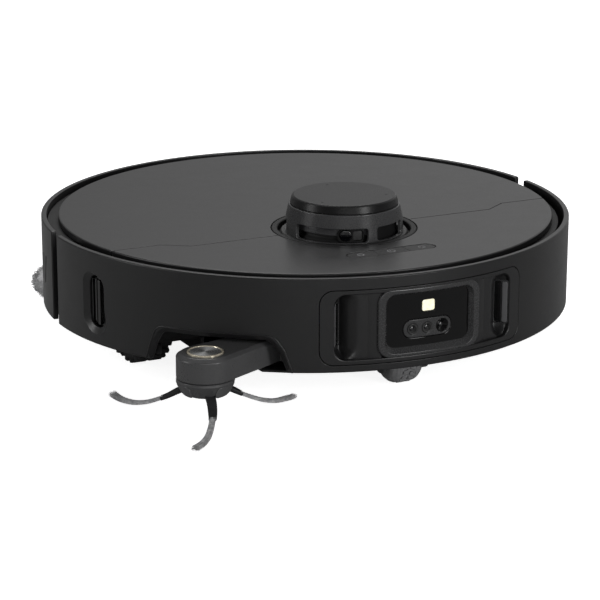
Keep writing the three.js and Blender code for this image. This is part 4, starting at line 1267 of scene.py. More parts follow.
# ================================================================ buttons
BUTTON_Y0, BUTTON_Y1 = -127.15, -116.45
END_R, JOINT_R = 5.2, 0.5  # corners at the ends of the row and between buttons
# name, x range, corner radii
BUTTONS = (
    ("button_left", 10.6, 30.2, [JOINT_R, END_R, END_R, JOINT_R]),
    ("button_middle", -10.42, 10.42, [JOINT_R] * 4),
    ("button_right", -30.2, -10.6, [END_R, JOINT_R, JOINT_R, END_R]),
)
ICON_X, ICON_Y = 21.5, -121.8
LINE = 0.36  # width of the printed lines


def printed(outline, holes=()):
    return plate(outline, 0.06, (0.02, 0.01), facing_up(81.655), holes)


def printed_arc(x, radius, angle0, angle1, count=28):
    return printed(sector(x, ICON_Y, radius + LINE / 2, radius - LINE / 2, angle0, angle1,
                          count))


def icons():
    """Dashed ring, open ring with a bar, and plain ring, by button."""
    low, high = ICON_Y + 0.7, ICON_Y + 2.9
    bar = [(LINE / 2, low), (LINE / 2, high), (-LINE / 2, high), (-LINE / 2, low)]
    return {
        "button_left": [printed_arc(ICON_X, 2.1, a + 8, a + 52, 8) for a in range(0, 360, 60)],
        "button_middle": [printed_arc(0, 2.4, 112, 428), printed(bar)],
        "button_right": [printed(circle(-ICON_X, ICON_Y, 2.2, 48),
                                 [circle(-ICON_X, ICON_Y, 1.84, 48)])],
    }


for name, x0, x1, radii in BUTTONS:
    corners = [(x0, BUTTON_Y0), (x1, BUTTON_Y0), (x1, BUTTON_Y1), (x0, BUTTON_Y1)]
    key = plate(fillet(corners, radii, True, 9)[0], 3.3, (0.14, 0.2), facing_up(81.62),
                grid=(3, 3), step=2.0)
    piece(name + "_key", key, "button", name, name)
for name, parts in icons().items():
    piece(name + "_icon", join(parts), "icon", name)

# ================================================================ laser turret
BAND_R = 37.0
BAND_START, BAND_TURN = 123, 359.97  # the band's joint, and how far round it runs, degrees
BAND_WINDOWS = ((131, 187), (203, 255), (280, 357), (367, 407), (422, 475))
BAND_LOW, BAND_HIGH = 79.2, 98.15


def turret_band():
    """Tapering band with five windows, bent round until its ends meet."""
    start, end = rad(BAND_START) * BAND_R, rad(BAND_START + BAND_TURN) * BAND_R
    outline = fillet([(start, BAND_LOW), (end, BAND_LOW), (end, BAND_HIGH), (start, BAND_HIGH)],
                     0.02)[0]
    windows = [rounded_arc(BAND_R, angle0, angle1, BAND_LOW + 1.5, 89.6, 2.1, 10)
               for angle0, angle1 in BAND_WINDOWS]

    def taper(z):
        return np.interp(z, [80.0, 89.8, 98.2], [38.3, 37.7, 35.75])

    def at_joint(loop):
        return ((loop[:, 0] < start + 0.1) | (loop[:, 0] > end - 0.1)).astype(float)

    return plate(outline, 2.3, (0.5, 0.3), on_body(BAND_R, *TURRET, taper), windows,
                 (0.55, 0.3), (2.4, 2.5), 1.2, ((0.5, 0.3, 0, 0, 0.02), at_joint))


def cap_pins():
    profile = [(0, 103.66), (0.45, 103.66), (0.5, 103.86), (0.75, 103.86), (0.85, 103.7),
               (0.85, 103.2), (0, 103.2)]
    return join([
        lathe(profile, 0.04, 24,
              (TURRET[0] + 27 * cos(rad(angle)), TURRET[1] + 27 * sin(rad(angle))))
        for angle in (87, 212, 331)
    ])


def lidar_skirt():
    """Flared skirt under the drum, near-black as painted shade below the drum, and the dark panel
    on the drum's side.
    """
    skirt = lathe(
        [(0, 83.55), (31.4, 83.55), (31.8, 82.2), (33.0, 80.8), (33.2, 79.9), (33.4, 73.2),
         (20, 71.2), (20, 66.0), (0, 66.0)],
        [0, 0.2, 0.6, 0.5, 0.3, 0.4, 0.4, 0.4, 0], 160, TURRET)
    panel = plate(rounded_arc(34.0, 2.5, 150, 80.6, 89.1, 1.0, 12), 1.2, (0.2, 0.1),
                  on_body(34.0, *TURRET), grid=(2, 3), step=1.5)
    return join([skirt, panel])


def lidar_box(*box):
    return rounded_arc(33.4, *box)


piece("turret_body", turret_band(), "turret", "chassis", "turret_base")
base_ring = lathe([(36.0, 80.35), (40.3, 80.35), (41.0, 79.8), (41.0, 77.6), (36.0, 77.6)],
                  [0.4, 0.5, 0.5, 0.3, 0.3], 160, TURRET)
piece("turret_base_ring", base_ring, "inner", "chassis")
cap = lathe([(0, 103.8), (32.6, 103.8), (33.75, 103.05), (34.95, 98.65), (34.2, 98.65),
             (34.0, 95.5), (32.2, 95.5), (32.2, 100.6), (0, 100.6)],
            [0, 0.5, 0.7, 0.3, 0.1, 0.2, 0.2, 0.5, 0], 192, TURRET)
piece("turret_cap_skin", cap, "turret_cap", "turret_cap", "turret_cap")
piece("turret_cap_pins", cap_pins(), "dark_and_painted_shade", "turret_cap")

drum = lathe([(0, 89.3), (31.6, 89.3), (33.2, 88.3), (33.2, 84.6), (32.2, 83.6), (0, 83.6)],
             [0, 0.5, 0.8, 0.6, 0.2, 0], 160, TURRET)
piece("lidar_drum", drum, "rotor", "lidar_rotor", "lidar_rotor")
piece("lidar_skirt", lidar_skirt(), "dark_and_painted_shade", "lidar_rotor")
lens_frame = plate(lidar_box(-35.2, -5.2, 80.2, 89.1, 3.6, 9), 2.4, (0.3, 0.2),
                   on_body(34.15, *TURRET),
                   [lidar_box(-33.0, -19.3, 81.0, 88.3, 3.4, 9),
                    lidar_box(-17.5, -7.2, 81.4, 87.8, 1.4, 12)], (0.25, 0.2), step=1.0)
piece("lidar_lens_frame", lens_frame, "dark_and_painted_shade", "lidar_rotor")
receiver = plate(lidar_box(-32.8, -19.1, 81.2, 88.1, 3.2, 9), 1.6, (0.8, 0.1),
                 on_body(33.9, *TURRET), grid=(1.4, 1.4), step=1.0)
piece("lidar_receiver_glass", receiver, "lens", "lidar_rotor",
      "lidar_receiver_lens")
emitter = plate(lidar_box(-17.8, -7.4, 81.6, 87.6, 1.2, 12), 1.6, (0.4, 0.1),
                on_body(33.7, *TURRET), grid=(1.4, 1.4), step=1.0)
piece("lidar_emitter_window", emitter, "lens_ring", "lidar_rotor")

# ================================================================ side brush
SCALLOP_R = 16.2
# Course of each tuft: end of its sleeve, its tip, and its headings at TUFT_RADII, degrees.
TUFT_RADII = [10, 15, 21, 30, 36, 42, 49, 56, 67]
TUFTS = {
    "1": (23.0, 61.0, [4, 0, -6, -9, -9, -7.5, -3.5, 0, 5]),
    "2": (27.6, 67.0, [136, 139, 143, 144, 143.5, 141, 137, 132.5, 126]),
    "3": (31.0, 70.5, [-104, -102, -103, -106, -108.5, -110.5, -112.5, -115, -119]),
}
# Droop of the tufts: radius from the hub's axis, height.
DROOP = [(8, 17.6), (12, 16.6), (16, 14.9), (20, 12.8), (24, 10.6), (28, 9.0), (35, 6.3),
         (45, 3.9), (56, 2.9), (62, 3.1), (67.5, 3.7)]
# Section of a sleeve, a flat strap with a raised rim on each side: across, up.
SLEEVE_SECTION = [(-1, -0.35), (-0.9, -1), (0.9, -1), (1, -0.35), (1, 0.8), (0.82, 1),
                  (0.62, 0.62), (-0.62, 0.62), (-0.82, 1), (-1, 0.8)]
BRISTLES = 210  # per tuft


def brush_arm():
    head = hull(np.concatenate([circle(*BRUSH, 17.6, 120), circle(-84, -122, 11.7, 72)]))
    root = hull(np.concatenate([circle(-84, -122, 8, 60), circle(*ARM_PIVOT, 9, 60)]))
    return join([
        plate(head, 15.0, (1.2, 0.5, 2.9, 1.9), facing_up(39.8), [circle(*BRUSH, 11.25)],
              (0.35, 0.2), step=1.6),
        plate(root, 13.4, (0.8, 0.5), facing_up(38.2), [circle(*ARM_PIVOT, 3.35, 40)],
              (0.3, 0.2), step=1.6),
        plate(circle(*BRUSH, 11.5, 72), 2.0, (0.2, 0.2), facing_up(38.7), step=2),
    ])


def brush_hub():
    """A cone with three low panels round it, between the tufts."""
    parts = [lathe(
        [(0, 24.4), (16.9, 24.4), (17.5, 24.0), (17.7, 22.6), (16.6, 20.0), (14.6, 16.2),
         (13.4, 14.9), (11.0, 13.9), (8.5, 13.1), (3.6, 12.9), (3.2, 13.6), (0, 13.6)],
        [0, 0.3, 0.4, 0.6, 2.0, 0.8, 1.2, 2.0, 2.0, 0.3, 0.2, 0], 144, BRUSH)]

    def cone(z):
        return np.interp(z, [13.6, 15.2, 16.4, 20.0, 22.4], [12.6, 14.5, 15.3, 17.1, 17.9])

    for heading in (64, 182, 302):
        middle = heading + 90  # as an angle from the front
        box = rounded_arc(SCALLOP_R, middle - 33, middle + 33, 14.2, 22.3, 3.4, 9)
        parts.append(plate(box, 1.0, (0.4, 0.1), on_body(SCALLOP_R, *BRUSH, cone),
                           grid=(1.8, 1.8), step=1.2))
    return join(parts)


def tuft_path(headings, start, end, count):
    """Smoothed centre line of a tuft between two radii."""
    radius = np.linspace(start, end, count)
    heading = np.radians(np.interp(radius, TUFT_RADII, headings))
    path = np.column_stack([BRUSH[0] + radius * np.cos(heading),
                            BRUSH[1] + radius * np.sin(heading),
                            np.interp(radius, *zip(*DROOP))])
    for _ in range(3):
        path[1:-1] = (path[:-2] + path[1:-1] * 2 + path[2:]) / 4
    return path


def sleeve(headings, end):
    path = tuft_path(headings, 9, end, 18)
    verts = []
    for i, (centre, across, above) in enumerate(zip(path, *frames(path))):
        part = i / (len(path) - 1)
        width = np.interp(part, [0, 0.25, 0.7, 1], [2.8, 3.0, 2.8, 2.4])
        height = np.interp(part, [0, 0.3, 1], [2.1, 1.6, 1.2])
        verts += [centre + across * u * width + above * v * height for u, v in SLEEVE_SECTION]
    return np.array(verts), sweep_faces(len(path), len(SLEEVE_SECTION)), None


def tuft(headings, start, tip):
    base = tuft_path(headings, start, tip, 26)
    across, above = frames(base)
    count = len(base)

    def sample(rows, at):
        return np.column_stack([np.interp(at, np.arange(count), rows[:, i]) for i in range(3)])

    parts = []
    for _ in range(BRISTLES):
        sideways, upwards = RNG.uniform(-1, 1), RNG.uniform(-1, 1)  # place in the bundle
        length = RNG.uniform(0.90, 1.0) if RNG.uniform() < 0.75 else RNG.uniform(0.80, 1.0)
        part = np.linspace(0, 1, max(8, int(count * length)))
        at = part * (count - 1) * length
        spread = 1.75 * (1 + 0.10 * part + 0.35 * part**5 * RNG.uniform(0, 1))
        curl = RNG.normal(0, 0.16) * part**2 + RNG.normal(0, 0.35) * part**7
        lift = upwards * 0.8 * (1 + 0.5 * part) + RNG.normal(0, 0.22) * part**4
        path = (sample(base, at) + sample(across, at) * (sideways * spread + curl)[:, None]
                + sample(above, at) * lift[:, None])
        path[:, 2] = np.maximum(path[:, 2], 1.2)
        parts.append(tube(path, 0.16, 4, np.interp(part, [0, 0.8, 1], [1, 0.9, 0.45])))
    return join(parts)


piece("brush_arm", brush_arm(), "arm", "side_arm", "side_arm")
badge = lathe([(0, 40.22), (9.35, 40.22), (9.6, 40.1), (9.6, 38.9), (0, 38.9)],
              [0, 0.15, 0.15, 0, 0], 128, BRUSH)
piece("brush_arm_badge", badge, "badge", "side_arm", "side_arm_cap")
badge_ring = lathe([(9.65, 39.4), (9.65, 40.2), (9.9, 40.6), (10.7, 40.6), (11.0, 40.25),
                    (11.0, 39.2), (9.65, 39.2)], [0, 0.1, 0.2, 0.2, 0.1, 0, 0], 128, BRUSH)
piece("brush_arm_badge_ring", badge_ring, "ring", "side_arm")
piece("brush_hub", brush_hub(), "arm", "side_brush", "side_brush_hub")
for key, (sleeve_end, tip, headings) in TUFTS.items():
    ob = piece("brush_sleeve_" + key, sleeve(headings, sleeve_end), "sleeve", "side_brush",
               smooth=180)
    rounding = ob.modifiers.new("round", "BEVEL")
    rounding.width = 0.0003
    rounding.segments = 2
    rounding.limit_method = "ANGLE"
    rounding.angle_limit = rad(30)
    piece("brush_bristles_" + key, tuft(headings, sleeve_end - 1.2, tip), "bristle",
          "side_brush", "side_bristle_" + key)


# ================================================================ caster
def lugs(rows, count, half, skew, corner, thickness, rim, radius, axle, step, start=0):
    """Two staggered rows of slanted tread blocks round an axle; rows gives their x ranges."""
    parts = []
    for row, (x0, x1) in enumerate(rows):
        slant = skew if row else -skew
        for i in range(count):
            v = rad((i + 0.5 * row) * 360 / count + start) * radius
            corners = [(x0, v - half - slant), (x1, v - half + slant),
                       (x1, v + half + slant), (x0, v + half - slant)]
            parts.append(plate(fillet(corners, corner, True, 30)[0], thickness, rim,
                               on_axle(radius, *axle), step=step))
    return parts


CASTER_AXLE = (-134.0, 15.0)  # y, z
barrel_half = [(2.4, 11.0), (9.6, 11.0), (11.6, 10.1), (13.6, 7.8), (14.35, 6.0), (14.45, 4.8),
               (13.9, 4.4)]
barrel_radii = [0.2, 0.5, 1.5, 1.5, 0.6, 0.4, 0.2]
barrel = lathe(mirrored(barrel_half), barrel_radii + barrel_radii[::-1], 96, CASTER_AXLE, "x")
ribs = lugs([(-4.25, -0.45), (0.45, 4.25)], 20, half=1.3, skew=0.9, corner=0.6, thickness=1.4,
            rim=(0.4, 0.1), radius=14.95, axle=CASTER_AXLE, step=1.2)
# the caster drum's pale rubber is painted light
piece("caster_drum", join([barrel] + ribs), "roller", "caster_wheel",
      "caster_wheel")
fork = refine("caster_fork", "arm", 0.5)
axle_y, axle_z = cad_y(CASTER_AXLE[0]), CASTER_AXLE[1] / 1000
for vertex in fork.data.vertices:  # slimmer cheeks
    co = vertex.co
    if abs(co.x) > 0.0124 and co.z < 0.0245:
        co.y = axle_y + (co.y - axle_y) * 0.86
        co.z = axle_z + (co.z - axle_z) * 0.86
    if co.x < -0.0145:
        co.x = -0.0141

# ================================================================ drive wheels
WHEEL_X, WHEEL_AXLE, WHEEL_HALF = 129.0, (-22.0, 35.0), 10.0


def wheel_tread(mirror):
    middle = mirror * WHEEL_X
    low, high = middle - WHEEL_HALF, middle + WHEEL_HALF
    tyre = lathe([(27.9, low), (27.9, high), (31.4, high), (32.7, high - 1.3),
                  (32.7, low + 1.3), (31.4, low)],
                 [0.3, 0.3, 0.8, 0.8, 0.8, 0.8], 160, WHEEL_AXLE, "x")
    rows = [(low + 0.3, middle - 0.4), (middle + 0.4, high - 0.3)]
    return join([tyre] + lugs(rows, 26, half=2.0, skew=1.5, corner=0.7, thickness=3.0,
                              rim=(0.6, 0.1), radius=34.9, axle=WHEEL_AXLE, step=2.0,
                              start=-90))


def wheel_rim(mirror):
    """A disc with six windows on the outer side, an outer ring, a hub and a web."""
    middle = mirror * WHEEL_X

    def band(inner, outer, end0, end1, radii, segments):
        """Ring between two distances from the wheel's middle, outwards."""
        low, high = sorted((middle + mirror * end0, middle + mirror * end1))
        return lathe([(inner, low), (inner, high), (outer, high), (outer, low)], radii,
                     segments, WHEEL_AXLE, "x")

    holes = [fillet(sector(0, 0, 21.5, 12.5, i * 60 + 8, i * 60 + 52), 1.2, True, 30)[0]
             for i in range(6)]
    face = on_plane((middle + mirror * (WHEEL_HALF - 1.4), *WHEEL_AXLE), (0, mirror, 0),
                    (0, 0, 1))
    return join([
        plate(circle(0, 0, 26.6, 120), 3.2, (0.4, 0.2), face, holes, (0.6, 0.3), step=2.0),
        band(24.6, 27.4, 1.0 - WHEEL_HALF, WHEEL_HALF - 1.0, [0.3, 0.3, 0.6, 0.6], 120),
        band(3.9, 9.0, -7.6, WHEEL_HALF - 0.7, [0.3, 0.4, 0.9, 0.4], 72),
        band(8.6, 25.0, -5.2, -3.0, 0.2, 96),
    ])


for side, mirror in SIDES:
    body = "wheel_" + side
    piece("wheel_tread_" + side, wheel_tread(mirror), "tyre", body,
          "wheel_tyre_" + side)
    piece("wheel_hub_" + side, wheel_rim(mirror), "arm", body,
          "wheel_rim_" + side)
    refine("suspension_arm_" + side, "inner", 0.7)

# ================================================================ main brush
ROLLER_AXLE = (-62.0, 22.5)  # y, z
ROLLER_HALF = 75.0
ROLLER_TWIST = 34  # the fins advance by this many degrees towards the middle
# Section of a fin: radius, half-width offset.
FIN_SECTION = [(11.9, -1.5), (14.0, -1.0), (18.6, -0.75), (19.35, -0.35), (19.35, 0.35),
               (18.6, 0.75), (14.0, 1.0), (11.9, 1.5)]


def roller_angle(x, start):
    return rad(start + ROLLER_TWIST * (1 - abs(x) / ROLLER_HALF))


def roller():
    """A core with six V-shaped fins."""
    half = [(0, 81), (4, 81), (4, ROLLER_HALF + 1.2), (11.6, ROLLER_HALF + 1.2),
            (12.4, ROLLER_HALF)]
    radii = [0, 0.4, 0.3, 0.8, 0.5]
    parts = [lathe(mirrored(half), radii + radii[::-1], 72, ROLLER_AXLE, "x")]
    stations = np.linspace(-ROLLER_HALF + 1, ROLLER_HALF - 1, 90)
    for i in range(6):
        verts = []
        for x in stations:
            angle = roller_angle(x, 60 * i)
            out = np.array([0, cos(angle), sin(angle)])
            aside = np.array([0, -sin(angle), cos(angle)])
            verts += [(x, *ROLLER_AXLE) + out * radius + aside * width
                      for radius, width in FIN_SECTION]
        faces = sweep_faces(len(stations), len(FIN_SECTION), first_cap=1)
        parts.append((np.array(verts), faces, np.zeros((len(verts), 3))))
    return join(parts)


def roller_bristles():
    """Six rows between the fins, five bristles to a bunch."""
    parts = []
    for i in range(6):
        for x in np.linspace(-73, 73, 74):
            angle = roller_angle(x, 60 * i + 30)
            for _ in range(5):
                sway, shift = RNG.normal(0, 0.05), RNG.normal(0, 0.45)
                out = np.array([0, cos(angle + sway * 0.3), sin(angle + sway * 0.3)])
                out_tip = np.array([0, cos(angle + sway), sin(angle + sway)])
                base = np.array([x + shift * 0.4, *ROLLER_AXLE])
                length = RNG.uniform(17.6, 19.0)
                path = np.array([base + out * 12.0,
                                 base + (out + out_tip) / 2 * ((12 + length) / 2),
                                 base + out_tip * length + np.array([shift, 0, 0])])
                parts.append(tube(path, 0.2, 3, [1, 0.95, 0.5], up=(1, 0, 0)))
    return join(parts)


def guard():
    """Plate under the brush; narrow cross bars part its five openings."""
    bars = [-81, -49, -17, 17, 49, 81]
    holes = [rounded(x0 + (1.3 if x0 > -81 else 0), x1 - (1.3 if x1 < 81 else 0),
                     39.5, 84.5, 2.5, 15)
             for x0, x1 in zip(bars[:-1], bars[1:])]
    return plate(rounded(-88, 88, 34, 90, 5, 10), 2.1, (0.7, 0.3), facing_down(7.4), holes,
                 (0.6, 0.3), (10, 10), 4)


def guard_latch(x):
    return plate(rounded(x - 2.4, x + 2.4, 54, 70, 1.6), 1.2, (0.4, 0.1), facing_down(6.9),
                 [rounded(x - 1.2, x + 1.2, 58, 66, 0.8, 20)], (0.3, 0.1), step=3)


piece("roller_rubber", roller(), "brush", "main_brush", "main_brush_roller",
      smooth=40)
piece("roller_bristles", roller_bristles(), "roller_bristle", "main_brush")
piece("guard_plate", guard(), "arm", "chassis", "brush_guard")
piece("guard_latches", join([guard_latch(-84.6), guard_latch(84.6)]), "grey", "chassis")

# ================================================================ mops
PAD_LOW, PAD_HIGH = 11.3, 18.1
PAD_FLAT_R, PAD_R = 64.0, 68.4  # where the faces end, and the bulging rim
PAD_RINGS, PAD_SPOKES = 26, 150


def mop_plate(centre):
    """Rigid holder: a disc with a ring of small holes and six windows."""
    holes = [circle(0, 0, 4.4, 48)]
    for i in range(10):
        angle = rad(36 * i + 9)
        holes.append(circle(50 * cos(angle), 50 * sin(angle), 5.2, 32))
    for i in range(6):
        holes.append(fillet(sector(0, 0, 36, 16, i * 60 + 10, i * 60 + 50), 2.0, True, 30)[0])
    return plate(circle(0, 0, 62.6, 160), 3.0, (0.8, 0.4), facing_up(21.5, *centre), holes,
                 (0.5, 0.2), (7, 7))


def mop_cushion(centre):
    """A cushion with a bulging rim and a rippled surface."""
    middle, half = (PAD_LOW + PAD_HIGH) / 2, (PAD_HIGH - PAD_LOW) / 2
    profile = [(PAD_FLAT_R * i / PAD_RINGS, PAD_LOW) for i in range(1, PAD_RINGS + 1)]
    for i in range(1, 12):
        angle = pi * i / 12
        profile.append((PAD_FLAT_R + (PAD_R - PAD_FLAT_R) * sin(angle),
                        middle - half * cos(angle)))
    profile += [(PAD_FLAT_R * (1 - i / PAD_RINGS), PAD_HIGH) for i in range(PAD_RINGS)]
    count, rows = PAD_SPOKES, len(profile)
    verts = [(*centre, PAD_LOW)]
    for radius, z in profile:
        for k in range(count):
            angle = 2 * pi * k / count
            wave = (0.35 * sin(23 * angle + radius * 0.31) * sin(radius * 0.55)
                    + 0.25 * sin(41 * angle + 1.7 * radius))
            frill = (0.55 * max(0.0, (radius - 58) / 10)
                     * sin(29 * angle + 2 * sin(5 * angle)))
            reach = radius + frill
            lift = 0.8 * wave if z < 14.5 else -abs(0.25 * wave)
            verts.append((centre[0] + reach * cos(angle), centre[1] + reach * sin(angle),
                          z + lift))
    verts.append((*centre, PAD_HIGH))
    last = len(verts) - 1
    top = 1 + (rows - 1) * count
    faces = []
    for k in range(count):
        k2 = (k + 1) % count
        faces.append((0, 1 + k2, 1 + k))
        faces.append((last, top + k, top + k2))
    for i in range(rows - 1):
        row = 1 + i * count
        for k in range(count):
            k2 = (k + 1) % count
            faces.append((row + k, row + k2, row + count + k2, row + count + k))
    return np.array(verts), faces, None


def mop_pile(centre, seed):
    """Curled yarn on the rim and the underside of the cushion."""
    rng = np.random.default_rng(seed)

    def yarn(root, way, bend, length, radius, lowest):
        """A strand from root along way, curling towards bend."""
        phase = rng.uniform(0, 2 * pi)
        part = np.linspace(0, 1, 6)
        path = (root + np.outer(part * length, way)
                + np.outer(np.sin(part * 5.0 + phase) * 0.55 * part, bend)
                + np.outer(np.cos(part * 4.3 + phase) * 0.7 * part, np.cross(way, bend)))
        strand = tube(path, radius, 3, [1, 1, 1, 0.95, 0.8, 0.45], up=(0.3, 0.2, 0.93))
        strand[0][:, 2] = np.clip(strand[0][:, 2], lowest, 22.0)
        return strand

    up = np.array([0, 0, 1.0])
    parts = []
    for _ in range(2300):  # rim
        angle = rng.uniform(0, 2 * pi)
        z = rng.uniform(11.6, 18.0)
        out = np.array([cos(angle), sin(angle), 0])
        aside = np.array([-sin(angle), cos(angle), 0])
        rise = (z - 14.7) / 3.4
        radius = 64.0 + 4.2 * math.sqrt(max(0.0, 1 - rise * rise))
        way = out + up * (rise * 0.8 + rng.normal(0, 0.25)) + aside * rng.normal(0, 0.35)
        way /= np.linalg.norm(way)
        length = rng.uniform(2.2, 4.4)
        root = np.array([*centre, z]) + out * radius - way * 0.5
        parts.append(yarn(root, way, up, length, rng.uniform(0.22, 0.36), 9.2))
    for _ in range(2200):  # underside
        radius = 67 * math.sqrt(rng.uniform(0.0, 1.0))
        angle = rng.uniform(0, 2 * pi)
        way = np.array([rng.normal(0, 0.8), rng.normal(0, 0.8), -1.0])
        way /= np.linalg.norm(way)
        out = np.array([cos(angle), sin(angle), 0.0])
        root = np.array([*centre, 11.6]) + out * radius
        parts.append(yarn(root, way, out, rng.uniform(1.8, 2.8), 0.34, 9.0))
    return join(parts)


for side, centre, seed in (("left", MOP_LEFT, 11), ("right", MOP_RIGHT, 12)):
    body = "mop_" + side
    piece("mop_plate_" + side, mop_plate(centre), "grey", body,
          "mop_holder_" + side)
    piece("mop_cushion_" + side, mop_cushion(centre), "mop", body,
          "mop_pad_" + side, smooth=180)
    piece("mop_pile_" + side, mop_pile(centre, seed), "mop", body)
    refine("mop_shaft_" + side, "steel", 0.4, 2)

casting = plate(hull(np.concatenate([circle(*MOP_PIVOT, 12, 72), circle(*MOP_RIGHT, 14, 80)])),
                14.2, (1.0, 1.0), facing_up(36.6),
                [circle(*MOP_PIVOT, 4.35, 40), circle(*MOP_RIGHT, 4.4, 40)], (0.5, 0.5), step=3)
piece("mop_arm_casting", casting, "inner", "mop_arm_right", "mop_arm_right")

# ================================================================ chassis and inside
base = refine("chassis_base", "inner", 0.45, 2, 38)
for vertex in base.data.vertices:
    co = vertex.co
    # the brush arm's post ends behind the bumper's lower edge
    from_pivot = math.hypot(co.x - ARM_PIVOT[0] / 1000, co.y - cad_y(ARM_PIVOT[1]))
    if from_pivot < 0.0125 and co.z < 0.017:
        co.z = 0.0185
for vertex in base.data.vertices:
    co = vertex.co
    # the caster well's rim follows the rising belly
    from_axis = math.hypot(co.x, co.y - cad_y(0))
    from_well = math.hypot(co.x, co.y - cad_y(-128))
    if 0.0218 < from_well < 0.0245 and co.z < 0.0102 and from_axis > 0.125:
        co.z = 0.0098 + (from_axis - 0.125) * 0.2558
refine("body_frame", "dark_and_painted_shade", 0.3, 2, 38)
for node, material, slot, bevel in (
    ("lidar_motor", "steel", "steel", 0.6),
    ("lidar_pulley", "grey", "grey_plastic", 0.4),
    ("lidar_belt", "belt", "belt_rubber", 0.3),
    ("battery_pack", "battery", "battery_wrap", 0.8),
    ("main_board", "board", "pcb", 0.2),
    ("dust_box", "dust", "dust_box_plastic", 0.6),
    ("dust_box_lid", "arm", "black_plastic", 0.8),
    ("dust_filter", "filter", "filter_paper", 0.5),
    ("water_tank", "tank", "tank_plastic", 0.8),
    ("blower_housing", "arm", "black_plastic", 0.6),
    ("blower_impeller", "grey", "grey_plastic", 0.3),
    ("brush_motor", "steel", "steel", 0.6),
):
    refine(node, material, bevel)

BELLY_SCREWS = ((-60, -20), (60, -20), (-30, -104), (30, -104), (0, 0), (92, -12), (-92, -12),
                (100, -92))
GUARD_SCREWS = ((-84.5, -86.5), (84.5, -86.5), (-84.5, -37.5), (84.5, -37.5))


def screw_head(x, y, z, radius, height):
    """Cross-head screw that faces down."""
    near, far = 0.17 * radius, 0.62 * radius  # half width and half length of the cross
    cross = [(-near, -far), (near, -far), (near, -near), (far, -near), (far, near), (near, near),
             (near, far), (-near, far), (-near, near), (-far, near), (-far, -near),
             (-near, -near)]
    ring = plate(circle(0, 0, radius, 40), height, (0.35, 0.1), facing_down(z, x, y), [cross],
                 (0.12, 0.1))
    bottom = plate(circle(0, 0, far * 1.1, 24), 0.3, (0.05, 0.05), facing_down(z + 0.9, x, y))
    return join([ring, bottom])


screws = [screw_head(x, y, 9.55, 2.6, 1.4) for x, y in BELLY_SCREWS]
screws += [screw_head(x, y, 7.25, 2.0, 1.2) for x, y in GUARD_SCREWS]
piece("underside_screws", join(screws), "steel", "chassis")


# ================================================================ stage, in metres
def floor_material():
    """Nearly white to the camera, a mid grey to everything it lights."""
    mat = Mat("floor_pale", (0.9, 0.9, 0.9), rough=0.9, specular=0.1)
    seen = mat.node("ShaderNodeLightPath").outputs["Is Camera Ray"]
    pale = mat.mix(mat.ramp(mat.noise(scale=0.8), span=(0.3, 0.7)),
                   (0.90, 0.90, 0.90), (0.93, 0.93, 0.93))
    mat.set("Base Color", mat.mix(seen, (0.42, 0.42, 0.42), pale))
    mat.set("Emission Color", (1, 1, 1, 1))
    mat.set("Emission Strength", mat.ramp(seen, to=(0.03, 0.88)))
    return mat.material


def build_world():
    """White to the camera; a dim room for light, with brighter parts in reflections."""
    world = bpy.data.worlds.new("studio")
    bpy.context.scene.world = world
    world.use_nodes = True
    graph = Graph(world.node_tree)
    rays = graph.node("ShaderNodeLightPath").outputs
    heading = graph.node("ShaderNodeTexCoord").outputs["Generated"]

    def towards(direction, span, to):
        dot = graph.node("ShaderNodeVectorMath", {0: heading, 1: direction},
                         operation="DOT_PRODUCT")
        return graph.ramp(dot.outputs["Value"], span=span, to=to)

    # brighter away from the camera, and to the camera's right
    beyond = towards((0.4396, 0.8982, 0.0), span=(-0.2, 0.9), to=(0.06, 0.37))
    right = towards((0.8982, -0.4396, 0.0), span=(-0.16, 0.16), to=(0.50, 1.30))
    reflected = graph.maths("MULTIPLY", beyond, right)
    ambient = 0.07
    strength = graph.maths("MULTIPLY_ADD", rays["Is Glossy Ray"], reflected, ambient)
    room = graph.node("ShaderNodeBackground", {0: (1, 1, 1, 1), 1: strength})
    backdrop = graph.node("ShaderNodeBackground", {0: (1, 1, 1, 1), 1: 1.0})
    mix = graph.node("ShaderNodeMixShader", {0: rays["Is Camera Ray"], 1: room.outputs[0],
                                             2: backdrop.outputs[0]})
    graph.node("ShaderNodeOutputWorld", {0: mix.outputs[0]})


# The camera looks from the robot's front right, slightly down.
VIEW = Vector((0.42162, 0.86150, -0.28295)).normalized()
CAMERA_AT = Vector((-0.66753, -1.35659 + AXIS_Y / 1000, 0.4634))
CAMERA_ROLL = rad(0.08061)
RIGHT = VIEW.cross(Vector((0, 0, 1))).normalized()


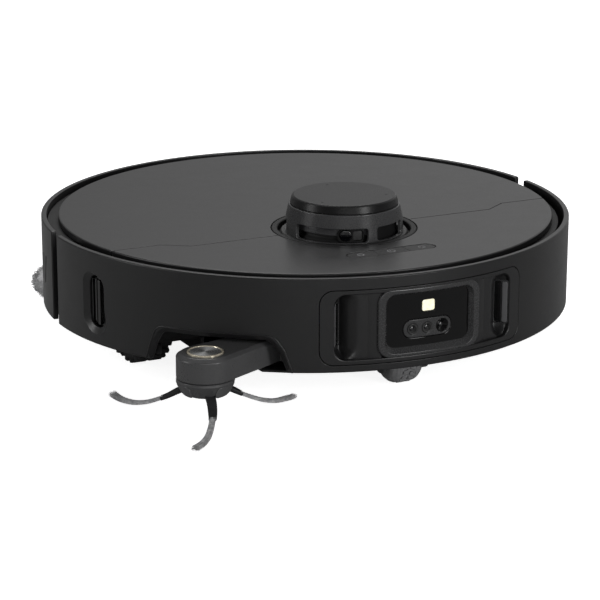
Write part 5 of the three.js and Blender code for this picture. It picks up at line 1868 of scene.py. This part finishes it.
def light(name, right, up, forward, width, height, power, aim_z=0.05):
    """Area light placed right, up and forward of the robot as the camera sees it."""
    level = Vector((VIEW.x, VIEW.y, 0)).normalized()
    middle = Vector((0, 0.0106, 0.04))
    place = middle + RIGHT * right + Vector((0, 0, 1)) * up + level * forward
    data = bpy.data.lights.new(name, "AREA")
    data.shape = "RECTANGLE"
    data.size = width
    data.size_y = height
    data.energy = power
    ob = bpy.data.objects.new(name, data)
    bpy.context.scene.collection.objects.link(ob)
    ob.location = place
    ob.rotation_mode = "QUATERNION"
    ob.rotation_quaternion = (Vector((0, 0, aim_z)) - place).to_track_quat("-Z", "Y")
    ob.visible_camera = False


def build_camera():
    up = RIGHT.cross(VIEW)
    rolled_right = RIGHT * cos(CAMERA_ROLL) + up * sin(CAMERA_ROLL)
    rolled_up = -RIGHT * sin(CAMERA_ROLL) + up * cos(CAMERA_ROLL)
    data = bpy.data.cameras.new("camera")
    camera = bpy.data.objects.new("camera", data)
    bpy.context.scene.collection.objects.link(camera)
    data.sensor_width = 36.0
    data.lens = 140.2176
    data.clip_start = 0.05
    data.clip_end = 60
    rotation = Matrix((rolled_right, rolled_up, -VIEW)).transposed()
    camera.matrix_world = Matrix.Translation(CAMERA_AT) @ rotation.to_4x4()
    bpy.context.scene.camera = camera


floor_mesh = bpy.data.meshes.new("floor")
floor_mesh.from_pydata([(-12, -12, 0), (12, -12, 0), (12, 12, 0), (-12, 12, 0)], [],
                       [(0, 1, 2, 3)])
floor = bpy.data.objects.new("floor", floor_mesh)
bpy.context.scene.collection.objects.link(floor)
floor_mesh.materials.append(floor_material())

build_world()
light("key_top", right=-0.15, up=2.0, forward=1.35, width=1.3, height=1.0, power=26)
light("left_strip", right=-1.9, up=0.8, forward=-0.5, width=0.6, height=1.3, power=12)
light("right_strip", right=1.5, up=0.7, forward=-1.6, width=0.6, height=1.2, power=20)
light("front_fill", right=0.3, up=0.35, forward=-2.6, width=1.6, height=0.5, power=9,
      aim_z=0.04)
build_camera()
bpy.context.scene.view_settings.view_transform = "Standard"
bpy.context.scene.view_settings.look = "None"
